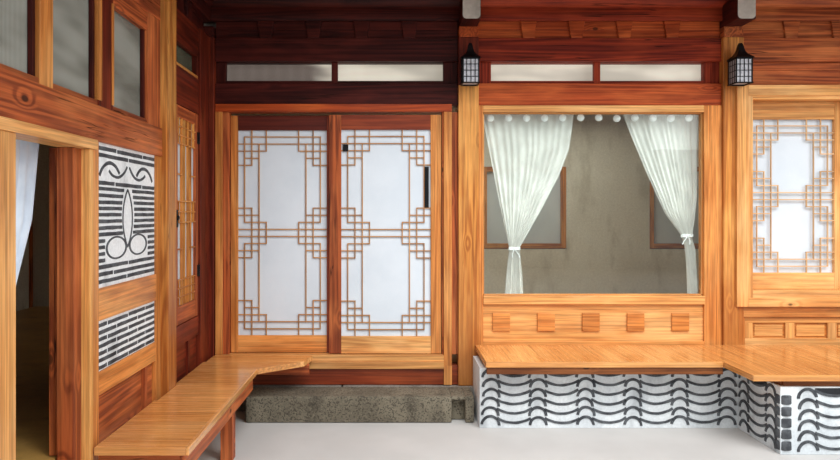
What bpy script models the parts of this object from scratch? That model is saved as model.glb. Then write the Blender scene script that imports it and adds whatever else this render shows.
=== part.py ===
# L-shaped hanok house around the corner of a courtyard, one storey, tiled roof.
# Plan frame used below: x to the right along the main range's courtyard wall,
# y away from the courtyard, z up from the ground, all in metres. The corner between
# the main range and the wing is near x = -1.5, y = 0.

import math

import bmesh
import bpy
from mathutils import Matrix, Vector

# Driving sizes of the plan
BAY = 2.13                 # post to post along the main range
HALF_BAY = 1.10            # short bay of the wing beside the corner
SPAN = 3.15                # depth of each range, post row to post row
POST = 0.165               # square posts
COURT_ROW_Y = 0.05         # centre line of the main range's courtyard posts
CORNER_X = -1.523          # centre line of the wing's courtyard posts
EAVE = 0.95                # roof beyond the post rows
VERGE = 0.60               # roof beyond the gable posts
GAP = 0.0003               # between pieces that touch
RUN = 0.0055               # between a moving piece and the pieces it passes

POST_A_X = CORNER_X + BAY
POST_B_X = POST_A_X + BAY
END_X = POST_B_X + BAY
BACK_ROW_Y = COURT_ROW_Y + SPAN
WING_X = CORNER_X - SPAN
WING_POST_Y = COURT_ROW_Y - HALF_BAY
WING_END_Y = WING_POST_Y - BAY + 0.03
RIDGE_X = CORNER_X - SPAN / 2
RIDGE_Y = COURT_ROW_Y + SPAN / 2
MAIN_LENGTH = END_X - RIDGE_X
WING_LENGTH = RIDGE_Y - WING_END_Y

# The model's origin is under the middle of the roof
MIDDLE_X = (WING_X - EAVE + END_X + VERGE) / 2
MIDDLE_Y = (WING_END_Y - VERGE + BACK_ROW_Y + EAVE) / 2

# Levels
BASE_TOP = 0.20
SILL_TOP = 0.335
FLOOR_TOP = 0.42
LINTEL = (2.459, 2.637)
RIGHT_LINTEL_FOOT = 2.541  # the right bay's window is taller
HEAD = (2.815, 3.004)
BLOCK_TOP = 3.146
BEAM_Z = (3.09, 3.24)
PURLIN_RADIUS = 0.09
RAFTER_RADIUS = 0.055
RAFTER_PITCH = 0.355
RAFTER_SLOPE = 0.40
RAFTER_SHORT = 0.10        # rafters end this far inside the roof's edge
ROOF_EAVE_THICK = 0.16
ROOF_RIDGE_THICK = 0.40
ROOF_STEPS = 8

# Walls
WALL_FACE = 0.08           # wall face in front of the post centres
WING_FACE = 0.033          # the same on the wing
SIDES = {
    "front": ("x", 0.0, -1),
    "back": ("x", BACK_ROW_Y + WALL_FACE - 0.03, 1),
    "end": ("y", END_X + WALL_FACE - 0.03, 1),
    "wing": ("d", CORNER_X + WING_FACE, 1),
    "wing_outer": ("y", WING_X - WALL_FACE + 0.03, -1),
    "wing_end": ("x", WING_END_Y - WALL_FACE + 0.03, -1),
}

COLOURS = {
    "post": (0.52, 0.22, 0.06, 0.45),
    "beam": (0.20, 0.05, 0.02, 0.5),
    "frame": (0.60, 0.28, 0.09, 0.45),
    "bench": (0.62, 0.25, 0.07, 0.25),
    "stone": (0.16, 0.14, 0.12, 0.9),
    "masonry": (0.55, 0.55, 0.53, 0.85),
    "plaster": (0.75, 0.73, 0.68, 0.9),
    "paper": (0.80, 0.83, 0.85, 0.8),
    "glass": (0.70, 0.75, 0.75, 0.1),
    "tile": (0.06, 0.065, 0.07, 0.6),
    "iron": (0.02, 0.02, 0.025, 0.5),
    "cloth": (0.85, 0.86, 0.87, 0.9),
    "floor": (0.45, 0.33, 0.16, 0.4),
}


# Scene and collections

def clear_scene():
    for old in list(bpy.data.objects):
        bpy.data.objects.remove(old, do_unlink=True)


def make_collection(name):
    collection = bpy.data.collections.new(name)
    bpy.context.scene.collection.children.link(collection)
    return collection


clear_scene()
HOUSE = make_collection("hanok_house")
CUTTERS = make_collection("cutters")


def material(key, name):
    red, green, blue, rough = COLOURS[key]
    made = bpy.data.materials.new(name + "_finish")
    made.use_nodes = True
    shader = made.node_tree.nodes["Principled BSDF"]
    shader.inputs["Base Color"].default_value = (red, green, blue, 1.0)
    shader.inputs["Roughness"].default_value = rough
    shader.inputs["Metallic"].default_value = 0.6 if key == "iron" else 0.0
    if key == "glass":
        shader.inputs["Transmission Weight"].default_value = 0.8
    return made


def finish(bm, name, key, parent=None):
    """Move a mesh from the plan frame to the model's frame and make it a node."""
    bmesh.ops.translate(bm, verts=bm.verts, vec=(-MIDDLE_X, -MIDDLE_Y, 0.0))
    if parent is not None:
        bmesh.ops.translate(bm, verts=bm.verts, vec=-parent.location)
    mesh = bpy.data.meshes.new(name)
    bm.to_mesh(mesh)
    bm.free()
    node = bpy.data.objects.new(name, mesh)
    HOUSE.objects.link(node)
    mesh.materials.append(material(key, name))
    if parent is not None:
        node.parent = parent
    return node


def cutter(bm, name):
    """A guide mesh in the model's frame that only a modifier uses."""
    bmesh.ops.translate(bm, verts=bm.verts, vec=(-MIDDLE_X, -MIDDLE_Y, 0.0))
    mesh = bpy.data.meshes.new(name)
    bm.to_mesh(mesh)
    bm.free()
    guide = bpy.data.objects.new(name, mesh)
    guide.hide_render = True
    guide.display_type = "WIRE"
    CUTTERS.objects.link(guide)
    return guide


CORE = 0.004               # small block inside a joined piece that starts its union
FLAT_ANGLE = 0.2           # degrees between faces that count as one plane


def fuse(bm, name, key, parent=None, middle=None):
    """Make a node of timbers that pass into each other, joined into one solid.

    The first timber drawn has to be a box or a rod: its middle starts the union,
    unless a point inside one of the timbers is given.
    """
    if middle is None:
        bm.verts.ensure_lookup_table()
        seen = {bm.verts[0]}
        grow = [bm.verts[0]]
        while grow:
            vert = grow.pop()
            for edge in vert.link_edges:
                other = edge.other_vert(vert)
                if other not in seen:
                    seen.add(other)
                    grow.append(other)
        middle = sum((v.co for v in seen), Vector()) / len(seen)
    core = bmesh.new()
    bmesh.ops.create_cube(core, size=CORE, matrix=Matrix.Translation(middle))
    guide = cutter(core, name + "_core")
    node = finish(bm, name, key, parent)
    join = node.modifiers.new("join", "BOOLEAN")
    join.operation = "UNION"
    join.solver = "EXACT"
    join.use_self = True
    join.object = guide
    tidy = node.modifiers.new("one face per plane", "DECIMATE")
    tidy.decimate_type = "DISSOLVE"
    tidy.angle_limit = math.radians(FLAT_ANGLE)
    return node


def cut_holes(node, holes):
    """Cut boxes out of a node; holes holds (x, y, z) ranges of the plan frame."""
    bm = bmesh.new()
    for x, y, z in holes:
        add_box(bm, x, y, z)
    guide = cutter(bm, node.name + "_holes")
    cut = node.modifiers.new("holes", "BOOLEAN")
    cut.operation = "DIFFERENCE"
    cut.solver = "EXACT"
    cut.object = guide


def pivot_empty(name, x, y, z):
    empty = bpy.data.objects.new(name, None)
    empty.location = (x - MIDDLE_X, y - MIDDLE_Y, z)
    HOUSE.objects.link(empty)
    return empty


# Shapes

def add_box(bm, x, y, z):
    """A box from three (low, high) ranges of the plan frame."""
    size = [abs(r[1] - r[0]) for r in (x, y, z)]
    middle = [(r[0] + r[1]) / 2 for r in (x, y, z)]
    matrix = Matrix.Translation(middle) @ Matrix.Diagonal((*size, 1.0))
    return bmesh.ops.create_cube(bm, size=1.0, matrix=matrix)["verts"]


def on_side(side, along, out, z):
    """Ranges along a wall, out of its face and up, as ranges of the plan frame."""
    axis, face, sign = SIDES[side]
    outward = sorted((face + sign * out[0], face + sign * out[1]))
    if axis == "x":
        return tuple(along), tuple(outward), tuple(z)
    if axis == "y":
        return tuple(outward), tuple(along), tuple(z)
    return tuple(outward), (-along[1], -along[0]), tuple(z)


def side_box(bm, side, along, out, z):
    return add_box(bm, *on_side(side, along, out, z))


def add_rod(bm, start, end, radius, sides=8):
    """A straight round bar between two points of the plan frame."""
    start = Vector(start)
    end = Vector(end)
    line = end - start
    turn = line.to_track_quat("Z", "X").to_matrix().to_4x4()
    matrix = Matrix.Translation((start + end) / 2) @ turn
    made = bmesh.ops.create_cone(
        bm, cap_ends=True, segments=sides, radius1=radius, radius2=radius,
        depth=line.length, matrix=matrix)
    return made["verts"]


def add_outline(bm, points, thick, matrix):
    """A flat outline given thickness, placed by a matrix, added to a mesh."""
    curve = bpy.data.curves.new("outline", "CURVE")
    curve.dimensions = "2D"
    curve.fill_mode = "BOTH"
    curve.extrude = thick / 2
    spline = curve.splines.new("POLY")
    spline.points.add(len(points) - 1)
    for point, (u, v) in zip(spline.points, points):
        point.co = (u, v, 0.0, 1.0)
    spline.use_cyclic_u = True
    holder = bpy.data.objects.new("outline", curve)
    HOUSE.objects.link(holder)
    bpy.context.view_layer.update()
    evaluated = holder.evaluated_get(bpy.context.evaluated_depsgraph_get())
    mesh = bpy.data.meshes.new_from_object(evaluated)
    bpy.data.objects.remove(holder, do_unlink=True)
    bpy.data.curves.remove(curve)
    part = bmesh.new()
    part.from_mesh(mesh)
    bmesh.ops.remove_doubles(part, verts=part.verts, dist=0.00005)
    bmesh.ops.transform(part, matrix=matrix, verts=part.verts)
    bmesh.ops.recalc_face_normals(part, faces=part.faces)
    part.to_mesh(mesh)
    part.free()
    known = set(bm.verts)
    bm.from_mesh(mesh)
    bpy.data.meshes.remove(mesh)
    return [vert for vert in bm.verts if vert not in known]


def flat_plate(bm, points, low, high):
    """An outline in plan, (x, y) points, from one height to another."""
    middle = Matrix.Translation((0.0, 0.0, (low + high) / 2))
    return add_outline(bm, points, high - low, middle)


def cut_off(bm, verts, point, normal):
    """Remove what lies on the side of a plane that its normal points to."""
    chosen = set(verts)
    faces = [f for f in bm.faces if all(v in chosen for v in f.verts)]
    edges = [e for e in bm.edges if all(v in chosen for v in e.verts)]
    cut = bmesh.ops.bisect_plane(
        bm, geom=list(verts) + edges + faces, dist=0.00001,
        plane_co=point, plane_no=normal, clear_outer=True)
    rim = [e for e in cut["geom_cut"] if isinstance(e, bmesh.types.BMEdge)]
    bmesh.ops.holes_fill(bm, edges=rim, sides=0)


def boxes(name, key, ranges, parent=None):
    bm = bmesh.new()
    for x, y, z in ranges:
        add_box(bm, x, y, z)
    return finish(bm, name, key, parent)


def around(middle, width):
    return (middle - width / 2, middle + width / 2)


# Stone base and floors

STEP_X = (CORNER_X + 0.403, POST_A_X + 0.009)
STEP_OUT = 0.35
BASE_FACE = 0.05
BASE_EDGE = POST / 2 + 0.05


def stone_base():
    """Two blocks under the ranges and the step in front of the door bay."""
    west = WING_X - BASE_EDGE
    z = (0.0, BASE_TOP)
    boxes("main_stone_base", "stone",
          [((west, END_X + BASE_EDGE), (-BASE_FACE, BACK_ROW_Y + BASE_EDGE), z)])
    boxes("wing_stone_base", "stone",
          [((west, CORNER_X + POST / 2 + 0.01), (WING_END_Y - BASE_EDGE, -BASE_FACE - GAP), z)])
    boxes("door_step", "stone", [(STEP_X, (-STEP_OUT, -BASE_FACE - GAP), z)])


FLOOR_INSET = 0.19         # floor edge inside the post centres, clear of the walls


def heated_floors():
    """The masonry floors, filled up from the base between the walls."""
    z = (BASE_TOP + GAP, FLOOR_TOP)
    front = COURT_ROW_Y + POST / 2 + GAP
    outer = WING_X + FLOOR_INSET
    boxes("main_floor", "floor",
          [((outer, END_X - FLOOR_INSET), (front, BACK_ROW_Y - FLOOR_INSET), z)])
    boxes("wing_floor", "floor",
          [((outer, CORNER_X - POST / 2 - GAP), (WING_END_Y + FLOOR_INSET, front - GAP), z)])


# Timber frame of the courtyard walls

MAIN_LINES = (CORNER_X, POST_A_X, POST_B_X, END_X)
WING_LINES = (WING_POST_Y, WING_END_Y)
MID_BACK_X = (WING_X + CORNER_X) / 2
IN_POST = 0.02             # timbers joined in one piece reach this far into a post


def clear_spans(centres, width=POST, inset=GAP):
    """The spaces between neighbouring posts."""
    line = sorted(centres)
    off = width / 2 + inset
    return [(a + off, b - off) for a, b in zip(line, line[1:])]


def post(bm, x, y, top=HEAD[1]):
    add_box(bm, around(x, POST), around(y, POST), (BASE_TOP + GAP, top))


BEAM_OUT = (-0.13, 0.0)
TRANSOM_GLASS_Z = (2.664, 2.812)
TRANSOM_STILES = ((0.080, 0.117), (0.107, 0.129))
TRANSOM_MULLION = 0.05
TRANSOM_OUT = (-0.085, -0.035)
GLASS_THICK = 0.006
FRONT_SPANS = clear_spans(MAIN_LINES)
BOARD_OUT = (-0.10, -0.035)
OVERLAP = 0.01


def transom_timbers(bm, span, stiles):
    """Frame of the low window between lintel and head beam over one bay."""
    low = LINTEL[1] - OVERLAP
    high = HEAD[0] + OVERLAP
    panes = (span[0] + stiles[0], span[1] - stiles[1])
    middle = (panes[0] + panes[1]) / 2
    for stile in ((span[0], panes[0]), around(middle, TRANSOM_MULLION), (panes[1], span[1])):
        side_box(bm, "front", stile, TRANSOM_OUT, (low, high))
    out = (TRANSOM_OUT[0] + 0.001, TRANSOM_OUT[1] - 0.001)
    side_box(bm, "front", span, out, (low, TRANSOM_GLASS_Z[0]))
    side_box(bm, "front", span, out, (TRANSOM_GLASS_Z[1], high))


def main_court_frame():
    """Posts and beams of the centre and right bays, with the boards over the right."""
    bm = bmesh.new()
    for x in MAIN_LINES[1:]:
        post(bm, x, COURT_ROW_Y)
    centre, right = FRONT_SPANS[1:]
    for low, high in (centre, right):
        reach = (low - IN_POST, high + IN_POST)
        lintel = LINTEL if low == centre[0] else (RIGHT_LINTEL_FOOT, LINTEL[1])
        for z in ((BASE_TOP + 2 * GAP, SILL_TOP), lintel, (HEAD[0], HEAD[1] - GAP)):
            side_box(bm, "front", reach, BEAM_OUT, z)
    transom_timbers(bm, (centre[0] - GAP * 2, centre[1] + GAP * 2), TRANSOM_STILES[1])
    side_box(bm, "front", (right[0] - IN_POST, right[1] + IN_POST), BOARD_OUT,
             (LINTEL[1] - OVERLAP, HEAD[0] + OVERLAP))
    fuse(bm, "main_court_frame", "post")


def corner_post():
    """The post in the corner with the hinge jamb of the side door."""
    bm = bmesh.new()
    post(bm, CORNER_X, COURT_ROW_Y)
    edge = HINGE_ALONG - HINGE_RADIUS - GAP
    side_box(bm, "wing", (WING_CORNER - IN_POST, edge), (-0.10, HINGE_JAMB_OUT),
             (BASE_TOP + 2 * GAP, HEAD[1] - GAP))
    fuse(bm, "corner_post", "post")


def door_bay_beams():
    """Lintel, low window frame and head beam over the doors, with the door head."""
    bm = bmesh.new()
    span = FRONT_SPANS[0]
    side_box(bm, "front", span, BEAM_OUT, LINTEL)
    side_box(bm, "front", span, BEAM_OUT, (HEAD[0], HEAD[1] - GAP))
    transom_timbers(bm, (span[0] + GAP, span[1] - GAP), TRANSOM_STILES[0])
    side_box(bm, "front", DOOR_OUTER_X, DOOR_DEPTH, (DOOR_HEAD_Z, LINTEL[0] + OVERLAP))
    fuse(bm, "door_bay_beams", "beam")


def transom_glass():
    """One sheet of ribbed glass behind the low windows of two bays."""
    behind = COURT_ROW_Y + POST / 2 + GAP
    bm = bmesh.new()
    add_box(bm, (FRONT_SPANS[0][0] + 0.02, FRONT_SPANS[1][1] - 0.02),
            (behind, behind + GLASS_THICK), (LINTEL[1] - 0.02, HEAD[0] + 0.02))
    finish(bm, "transom_glass", "glass")


BLOCK_WIDE = 0.135
BLOCK_PITCH = 0.388
BLOCK_FIRST = 0.49
BLOCK_FOOT = 0.095
BLOCK_OUT = (-0.12, -0.005)
BLOCK_BOARD_OUT = (-0.125, -0.095)
CAPITAL_TOP = BEAM_Z[0] - GAP


def tapered_block(bm, side, along, low, high):
    """A bearing block that narrows towards its foot."""
    verts = side_box(bm, side, around(along, BLOCK_WIDE), BLOCK_OUT, (low, high))
    x, y, z = on_side(side, (along, along), BLOCK_OUT, (low, high))
    axis = 0 if x[0] == x[1] else 1
    middle = x[0] if axis == 0 else y[0]
    for vert in verts:
        if vert.co.z < (low + high) / 2:
            vert.co[axis] = middle + math.copysign(BLOCK_FOOT / 2, vert.co[axis] - middle)


def bearing_blocks():
    """Boards on the head beams with blocks between post heads that carry the purlin."""
    bm = bmesh.new()
    low = HEAD[1] + GAP
    high = BLOCK_TOP - GAP
    side_box(bm, "front", (CORNER_X, END_X + POST / 2), BLOCK_BOARD_OUT, (low, CAPITAL_TOP))
    side_box(bm, "wing", (-COURT_ROW_Y, -WING_END_Y - 0.06), BLOCK_BOARD_OUT,
             (low, CAPITAL_TOP - GAP))
    for x in MAIN_LINES:
        add_box(bm, around(x, POST - 0.01), around(COURT_ROW_Y, POST), (low, CAPITAL_TOP))
    for y in WING_LINES:
        add_box(bm, around(CORNER_X, POST), around(y, POST - 0.01), (low, CAPITAL_TOP))
    for line in MAIN_LINES[:3]:
        for number in range(4):
            tapered_block(bm, "front", line + BLOCK_FIRST + number * BLOCK_PITCH, low, high)
    for number in range(4):
        along = -WING_POST_Y + BLOCK_FIRST + number * BLOCK_PITCH
        tapered_block(bm, "wing", along, low, high)
    tapered_block(bm, "wing", BLOCK_FIRST, low, high)
    for s in MAIN_LINES[:3]:
        start = s + POST / 2
        side_box(bm, "front", (start, start + BAY - POST), (-0.115, BLOCK_BOARD_OUT[1]),
                 (low + 0.002, high - 0.03))
    fuse(bm, "bearing_blocks", "beam")


# Each range has its own frame: s runs from the crossing of the ridges to the gable,
# u runs across it, below zero towards the courtyard. The wing is the main range
# mirrored on the vertical plane through the valley and the hip.

def range_matrix(wing):
    if wing:
        return Matrix(((0, -1, 0, RIDGE_X), (-1, 0, 0, RIDGE_Y), (0, 0, 1, 0), (0, 0, 0, 1)))
    return Matrix.Translation((RIDGE_X, RIDGE_Y, 0.0))


def range_length(wing):
    return WING_LENGTH if wing else MAIN_LENGTH


def place_range(bm, verts, wing):
    """Move new vertices from a range's frame to the plan frame."""
    bmesh.ops.transform(bm, matrix=range_matrix(wing), verts=verts)
    if wing:
        chosen = set(verts)
        turned = [f for f in bm.faces if all(v in chosen for v in f.verts)]
        bmesh.ops.reverse_faces(bm, faces=turned)


def island(bm, known):
    return [vert for vert in bm.verts if vert not in known]


def mitre(bm, known):
    """Cut a piece at the vertical plane where the two ranges meet, s = -u."""
    cut_off(bm, island(bm, known), (GAP, 0.0, 0.0), (-1.0, -1.0, 0.0))


ROUND_SIDES = 16
FLAT = math.cos(math.pi / ROUND_SIDES)
PURLIN_Z = BEAM_Z[1] + GAP + PURLIN_RADIUS
RIDGE_PURLIN_Z = PURLIN_Z + SPAN / 2 * RAFTER_SLOPE
PURLIN_OUT = 0.50
SUPPORT = 0.09
HEAD_OUT = 0.285           # cross beam beyond the post centre
BEAM_WIDE = 0.145
END_BEAM_OUT = (0.02, 0.0825)


def range_lines(wing):
    """Where cross beams lie along a range, the gable one last."""
    if wing:
        return [RIDGE_Y - y for y in (COURT_ROW_Y,) + WING_LINES]
    return [x - RIDGE_X for x in MAIN_LINES]


def roof_frame(wing, name):
    """Cross beams, king posts, round purlins and their supports of one range."""
    bm = bmesh.new()
    reach = SPAN / 2 + HEAD_OUT
    end = range_length(wing)
    stop = end + PURLIN_OUT
    turn = Matrix.Rotation(math.pi / ROUND_SIDES, 4, "X")
    for number, s in enumerate(range_lines(wing)):
        low = -reach
        width = around(s, BEAM_WIDE)
        if number == 0:
            low = -SPAN / 2 + 0.12
        if s > end - 0.01:
            width = (s + END_BEAM_OUT[0], s + END_BEAM_OUT[1])
        add_box(bm, width, (low, reach), (BEAM_Z[0], BEAM_Z[1] + 0.03))
        add_box(bm, (width[0] + 0.002, width[1] - 0.002), around(0.0, 2 * PURLIN_RADIUS),
                (BEAM_Z[1], RIDGE_PURLIN_Z - 0.03))
    for u, z in ((-SPAN / 2, PURLIN_Z), (SPAN / 2, PURLIN_Z), (0.0, RIDGE_PURLIN_Z)):
        known = set(bm.verts)
        start = -u - 0.3
        verts = add_rod(bm, (start, 0.0, 0.0), (stop, 0.0, 0.0),
                        PURLIN_RADIUS / FLAT, ROUND_SIDES)
        bmesh.ops.transform(bm, matrix=Matrix.Translation((0.0, u, z)) @ turn, verts=verts)
        mitre(bm, known)
        if u != 0.0:
            known = set(bm.verts)
            add_box(bm, (start, end + 0.15), around(u, SUPPORT),
                    (BLOCK_TOP, BEAM_Z[1] + 0.02))
            mitre(bm, known)
    known = set(bm.verts)
    add_box(bm, (0.05, range_lines(wing)[0]), around(0.0, BEAM_WIDE - 0.01),
            (BEAM_Z[0] + 0.002, BEAM_Z[1]))
    mitre(bm, known)
    place_range(bm, bm.verts[:], wing)
    fuse(bm, name, "beam")


# Rafters and roof

RAFTER_TILT = math.atan(RAFTER_SLOPE)
RAFTER_LOW = PURLIN_Z + (PURLIN_RADIUS + GAP) / math.cos(RAFTER_TILT)
RAFTER_HIGH = 2 * RAFTER_RADIUS / math.cos(RAFTER_TILT)
RAFTER_SIDES = 8
HALF_ROOF = SPAN / 2 + EAVE
HIP_CLEAR = 0.07
DECK = 0.03
DECK_SINK = 0.012
VERGE_BOARD = (0.04, 0.26)
CORNER_RAFTER = 0.14
RAISED = 0.003             # corner rafter's underside above the round rafters'


def rafter_foot(u):
    """Height of the rafters' underside at a distance from the ridge line."""
    return RAFTER_LOW + (SPAN / 2 - abs(u)) * RAFTER_SLOPE


def deck_foot(u):
    return rafter_foot(u) + RAFTER_HIGH - DECK_SINK


def roof_under(u):
    return deck_foot(u) + DECK + GAP


def rafter_rows(wing):
    """Positions of the rafters along a range, counted from the gable."""
    end = range_length(wing)
    rows = []
    s = end + VERGE - 0.10
    while s > -HALF_ROOF:
        rows.append(s)
        s -= RAFTER_PITCH
    return rows


ACROSS = Matrix(((0, 0, 1, 0), (1, 0, 0, 0), (0, 1, 0, 0), (0, 0, 0, 1)))


def add_section(bm, outline, low, high):
    """An outline of (u, z) points drawn out along s."""
    shift = Matrix.Translation(((low + high) / 2, 0.0, 0.0))
    return add_outline(bm, outline, high - low, shift @ ACROSS)


def rafters(wing, name):
    """Round rafters under a board deck, with verge boards and boards on the purlins."""
    bm = bmesh.new()
    tip = HALF_ROOF - RAFTER_SHORT
    lift = RAFTER_RADIUS / math.cos(RAFTER_TILT)
    end = range_length(wing) + VERGE
    rows = rafter_rows(wing)
    for s in rows:
        for sign in (-1, 1):
            near = 0.01
            far = tip
            if sign < 0:
                far = min(tip, s - HIP_CLEAR)
            else:
                near = max(near, -s + HIP_CLEAR)
            if far - near < 0.25:
                continue
            add_rod(bm, (s, sign * near, rafter_foot(near) + lift),
                    (s, sign * far, rafter_foot(far) + lift), RAFTER_RADIUS, RAFTER_SIDES)
    known = set(bm.verts)
    edge = HALF_ROOF - 0.03
    outline = [(-edge, deck_foot(edge)), (0.0, deck_foot(0.0)), (edge, deck_foot(edge)),
               (edge, deck_foot(edge) + DECK), (0.0, deck_foot(0.0) + DECK),
               (-edge, deck_foot(edge) + DECK)]
    add_section(bm, outline, -HALF_ROOF - 0.2, end - 0.01)
    mitre(bm, known)
    thick, tall = VERGE_BOARD
    edge = HALF_ROOF - 0.02
    top = DECK - 0.002
    outline = [(-edge, deck_foot(edge) + top), (-edge, deck_foot(edge) - tall),
               (0.0, deck_foot(0.0) - tall), (edge, deck_foot(edge) - tall),
               (edge, deck_foot(edge) + top), (0.0, deck_foot(0.0) + top)]
    add_section(bm, outline, end - thick, end)
    for sign in (-1, 1):
        known = set(bm.verts)
        half = CORNER_RAFTER / math.sqrt(2)
        slant = [(sign * 0.1, deck_foot(0.1) + 0.01), (sign * 0.1, rafter_foot(0.1) + RAISED),
                 (sign * tip, rafter_foot(tip) + RAISED), (sign * tip, deck_foot(tip) + 0.01)]
        add_section(bm, slant, -tip - 0.1, tip + 0.1)
        chosen = island(bm, known)
        cut_off(bm, chosen, (half, 0.0, 0.0), (1.0, 1.0, 0.0))
        chosen = island(bm, known)
        cut_off(bm, chosen, (GAP, 0.0, 0.0), (-1.0, -1.0, 0.0))
    place_range(bm, bm.verts[:], wing)
    inside = (rows[0], -SPAN / 2, rafter_foot(SPAN / 2) + lift)
    fuse(bm, name, "beam", middle=range_matrix(wing) @ Vector(inside))


def roof_top(u):
    """Height of the roof's surface, hollow towards the eaves."""
    share = 1.0 - abs(u) / HALF_ROOF
    eave = roof_under(HALF_ROOF) + ROOF_EAVE_THICK
    ridge = roof_under(0.0) + ROOF_RIDGE_THICK
    return eave + (ridge - eave) * (0.72 * share + 0.28 * share * share)


def roof_surface(u):
    """The same on the straight stretches that the roof is drawn with."""
    step = HALF_ROOF / ROOF_STEPS
    number = min(int(abs(u) / step), ROOF_STEPS - 1)
    share = abs(u) / step - number
    return roof_top(number * step) * (1.0 - share) + roof_top((number + 1) * step) * share


def roof(wing, name):
    """Both slopes of a range: earth and tiles as one mass."""
    bm = bmesh.new()
    steps = [HALF_ROOF * i / ROOF_STEPS for i in range(-ROOF_STEPS, ROOF_STEPS + 1)]
    top = [(u, roof_top(u)) for u in steps]
    under = [(HALF_ROOF, roof_under(HALF_ROOF)), (0.0, roof_under(0.0)),
             (-HALF_ROOF, roof_under(HALF_ROOF))]
    known = set()
    add_section(bm, top + under, -HALF_ROOF - 0.2, range_length(wing) + VERGE)
    mitre(bm, known)
    place_range(bm, bm.verts[:], wing)
    finish(bm, name, "tile")


RIDGE_WIDE = 0.26
RIDGE_TALL = 0.32
RIDGE_RISE = 0.07
RIDGE_STEPS = 6
HIP_TALL = 0.20
HIP_START = 0.06


def ridge_piece(bm, wing, low, high):
    """A ridge on the roof's peak whose top rises towards its gable end."""
    half = RIDGE_WIDE / 2
    foot = roof_surface(half) + GAP
    top = roof_top(0.0) + RIDGE_TALL
    outline = [(-half, foot), (0.0, roof_top(0.0) + GAP), (half, foot), (half, top - 0.05),
               (half * 0.5, top), (-half * 0.5, top), (-half, top - 0.05)]
    known = set(bm.verts)
    add_section(bm, outline, low, high)
    for i in range(1, RIDGE_STEPS):
        chosen = island(bm, known)
        picked = set(chosen)
        faces = [f for f in bm.faces if all(v in picked for v in f.verts)]
        edges = [e for e in bm.edges if all(v in picked for v in e.verts)]
        bmesh.ops.bisect_plane(bm, geom=chosen + edges + faces, dist=0.00001,
                               plane_co=(low + (high - low) * i / RIDGE_STEPS, 0.0, 0.0),
                               plane_no=(1.0, 0.0, 0.0))
    for vert in island(bm, known):
        if vert.co.z > top - 0.06:
            share = (vert.co.x - low) / (high - low)
            vert.co.z += RIDGE_RISE * share * share
    place_range(bm, island(bm, known), wing)


def roof_ridges():
    """The two ridges and the hip ridge, stacked tiles as one mass."""
    bm = bmesh.new()
    peak = roof_top(0.0) + GAP
    add_box(bm, around(RIDGE_X, RIDGE_WIDE + 0.01), around(RIDGE_Y, RIDGE_WIDE + 0.01),
            (peak, peak + RIDGE_TALL - 0.01))
    for wing in (False, True):
        ridge_piece(bm, wing, RIDGE_WIDE / 2 + 0.003, range_length(wing) + VERGE - 0.04)
    hip_ridge(bm)
    fuse(bm, "roof_ridges", "tile")


def hip_ridge(bm):
    """Half of the hip ridge drawn on the main slope, mirrored onto the wing's."""
    steps = [HIP_START] + [HALF_ROOF * (i + 1) / ROOF_STEPS for i in range(ROOF_STEPS)]
    under = [(u, roof_surface(u) + GAP) for u in steps]
    over = [(u, roof_surface(u) + HIP_TALL) for u in reversed(steps)]
    part = bmesh.new()
    add_section(part, under + over, -HALF_ROOF - 0.3, 0.2)
    every = part.verts[:] + part.edges[:] + part.faces[:]
    bmesh.ops.bisect_plane(part, geom=every, dist=0.00001, plane_co=(0.0, 0.0, 0.0),
                           plane_no=(-1.0, -1.0, 0.0), clear_outer=True)
    offset = RIDGE_WIDE / 2 * math.sqrt(2)
    cut_off(part, part.verts[:], (offset, 0.0, 0.0), (1.0, 1.0, 0.0))
    inner = [f for f in part.faces
             if all(abs(v.co.x + v.co.y) < 0.0001 for v in f.verts)]
    bmesh.ops.delete(part, geom=inner, context="FACES")
    twin = bmesh.ops.duplicate(part, geom=part.verts[:] + part.edges[:] + part.faces[:])
    verts = [g for g in twin["geom"] if isinstance(g, bmesh.types.BMVert)]
    faces = [g for g in twin["geom"] if isinstance(g, bmesh.types.BMFace)]
    swap = Matrix(((0, -1, 0, 0), (-1, 0, 0, 0), (0, 0, 1, 0), (0, 0, 0, 1)))
    bmesh.ops.transform(part, matrix=swap, verts=verts)
    bmesh.ops.reverse_faces(part, faces=faces)
    bmesh.ops.remove_doubles(part, verts=part.verts, dist=0.00005)
    bmesh.ops.recalc_face_normals(part, faces=part.faces)
    bmesh.ops.translate(part, verts=part.verts, vec=(RIDGE_X, RIDGE_Y, 0.0))
    merge_in(bm, part)


def merge_in(bm, part):
    """Add one mesh to another."""
    mesh = bpy.data.meshes.new("part")
    part.to_mesh(mesh)
    part.free()
    bm.from_mesh(mesh)
    bpy.data.meshes.remove(mesh)


# Leaves, sashes and casings. Their lattice bars are left to the picture's scene: the
# paper lies behind the frame's face by the depth of the bars.

PAPER_BACK = 0.018
PAPER_THICK = 0.003
RAIL_BACK = 0.0005         # a rail's faces behind the stiles' faces


def add_frame(bm, side, along, out, z, stiles, top, bottom):
    """Two stiles and two rails run into each other; returns the opening."""
    rail_out = (out[0] + RAIL_BACK, out[1] - RAIL_BACK)
    inner = (along[0] + stiles[0], along[1] - stiles[1])
    side_box(bm, side, (along[0], inner[0]), out, z)
    side_box(bm, side, (inner[1], along[1]), out, z)
    across = (along[0] + stiles[0] / 2, along[1] - stiles[1] / 2)
    side_box(bm, side, across, rail_out, (z[0] + RAIL_BACK, z[0] + bottom))
    side_box(bm, side, across, rail_out, (z[1] - top, z[1] - RAIL_BACK))
    return inner, (z[0] + bottom, z[1] - top)


# Door bay

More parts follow.
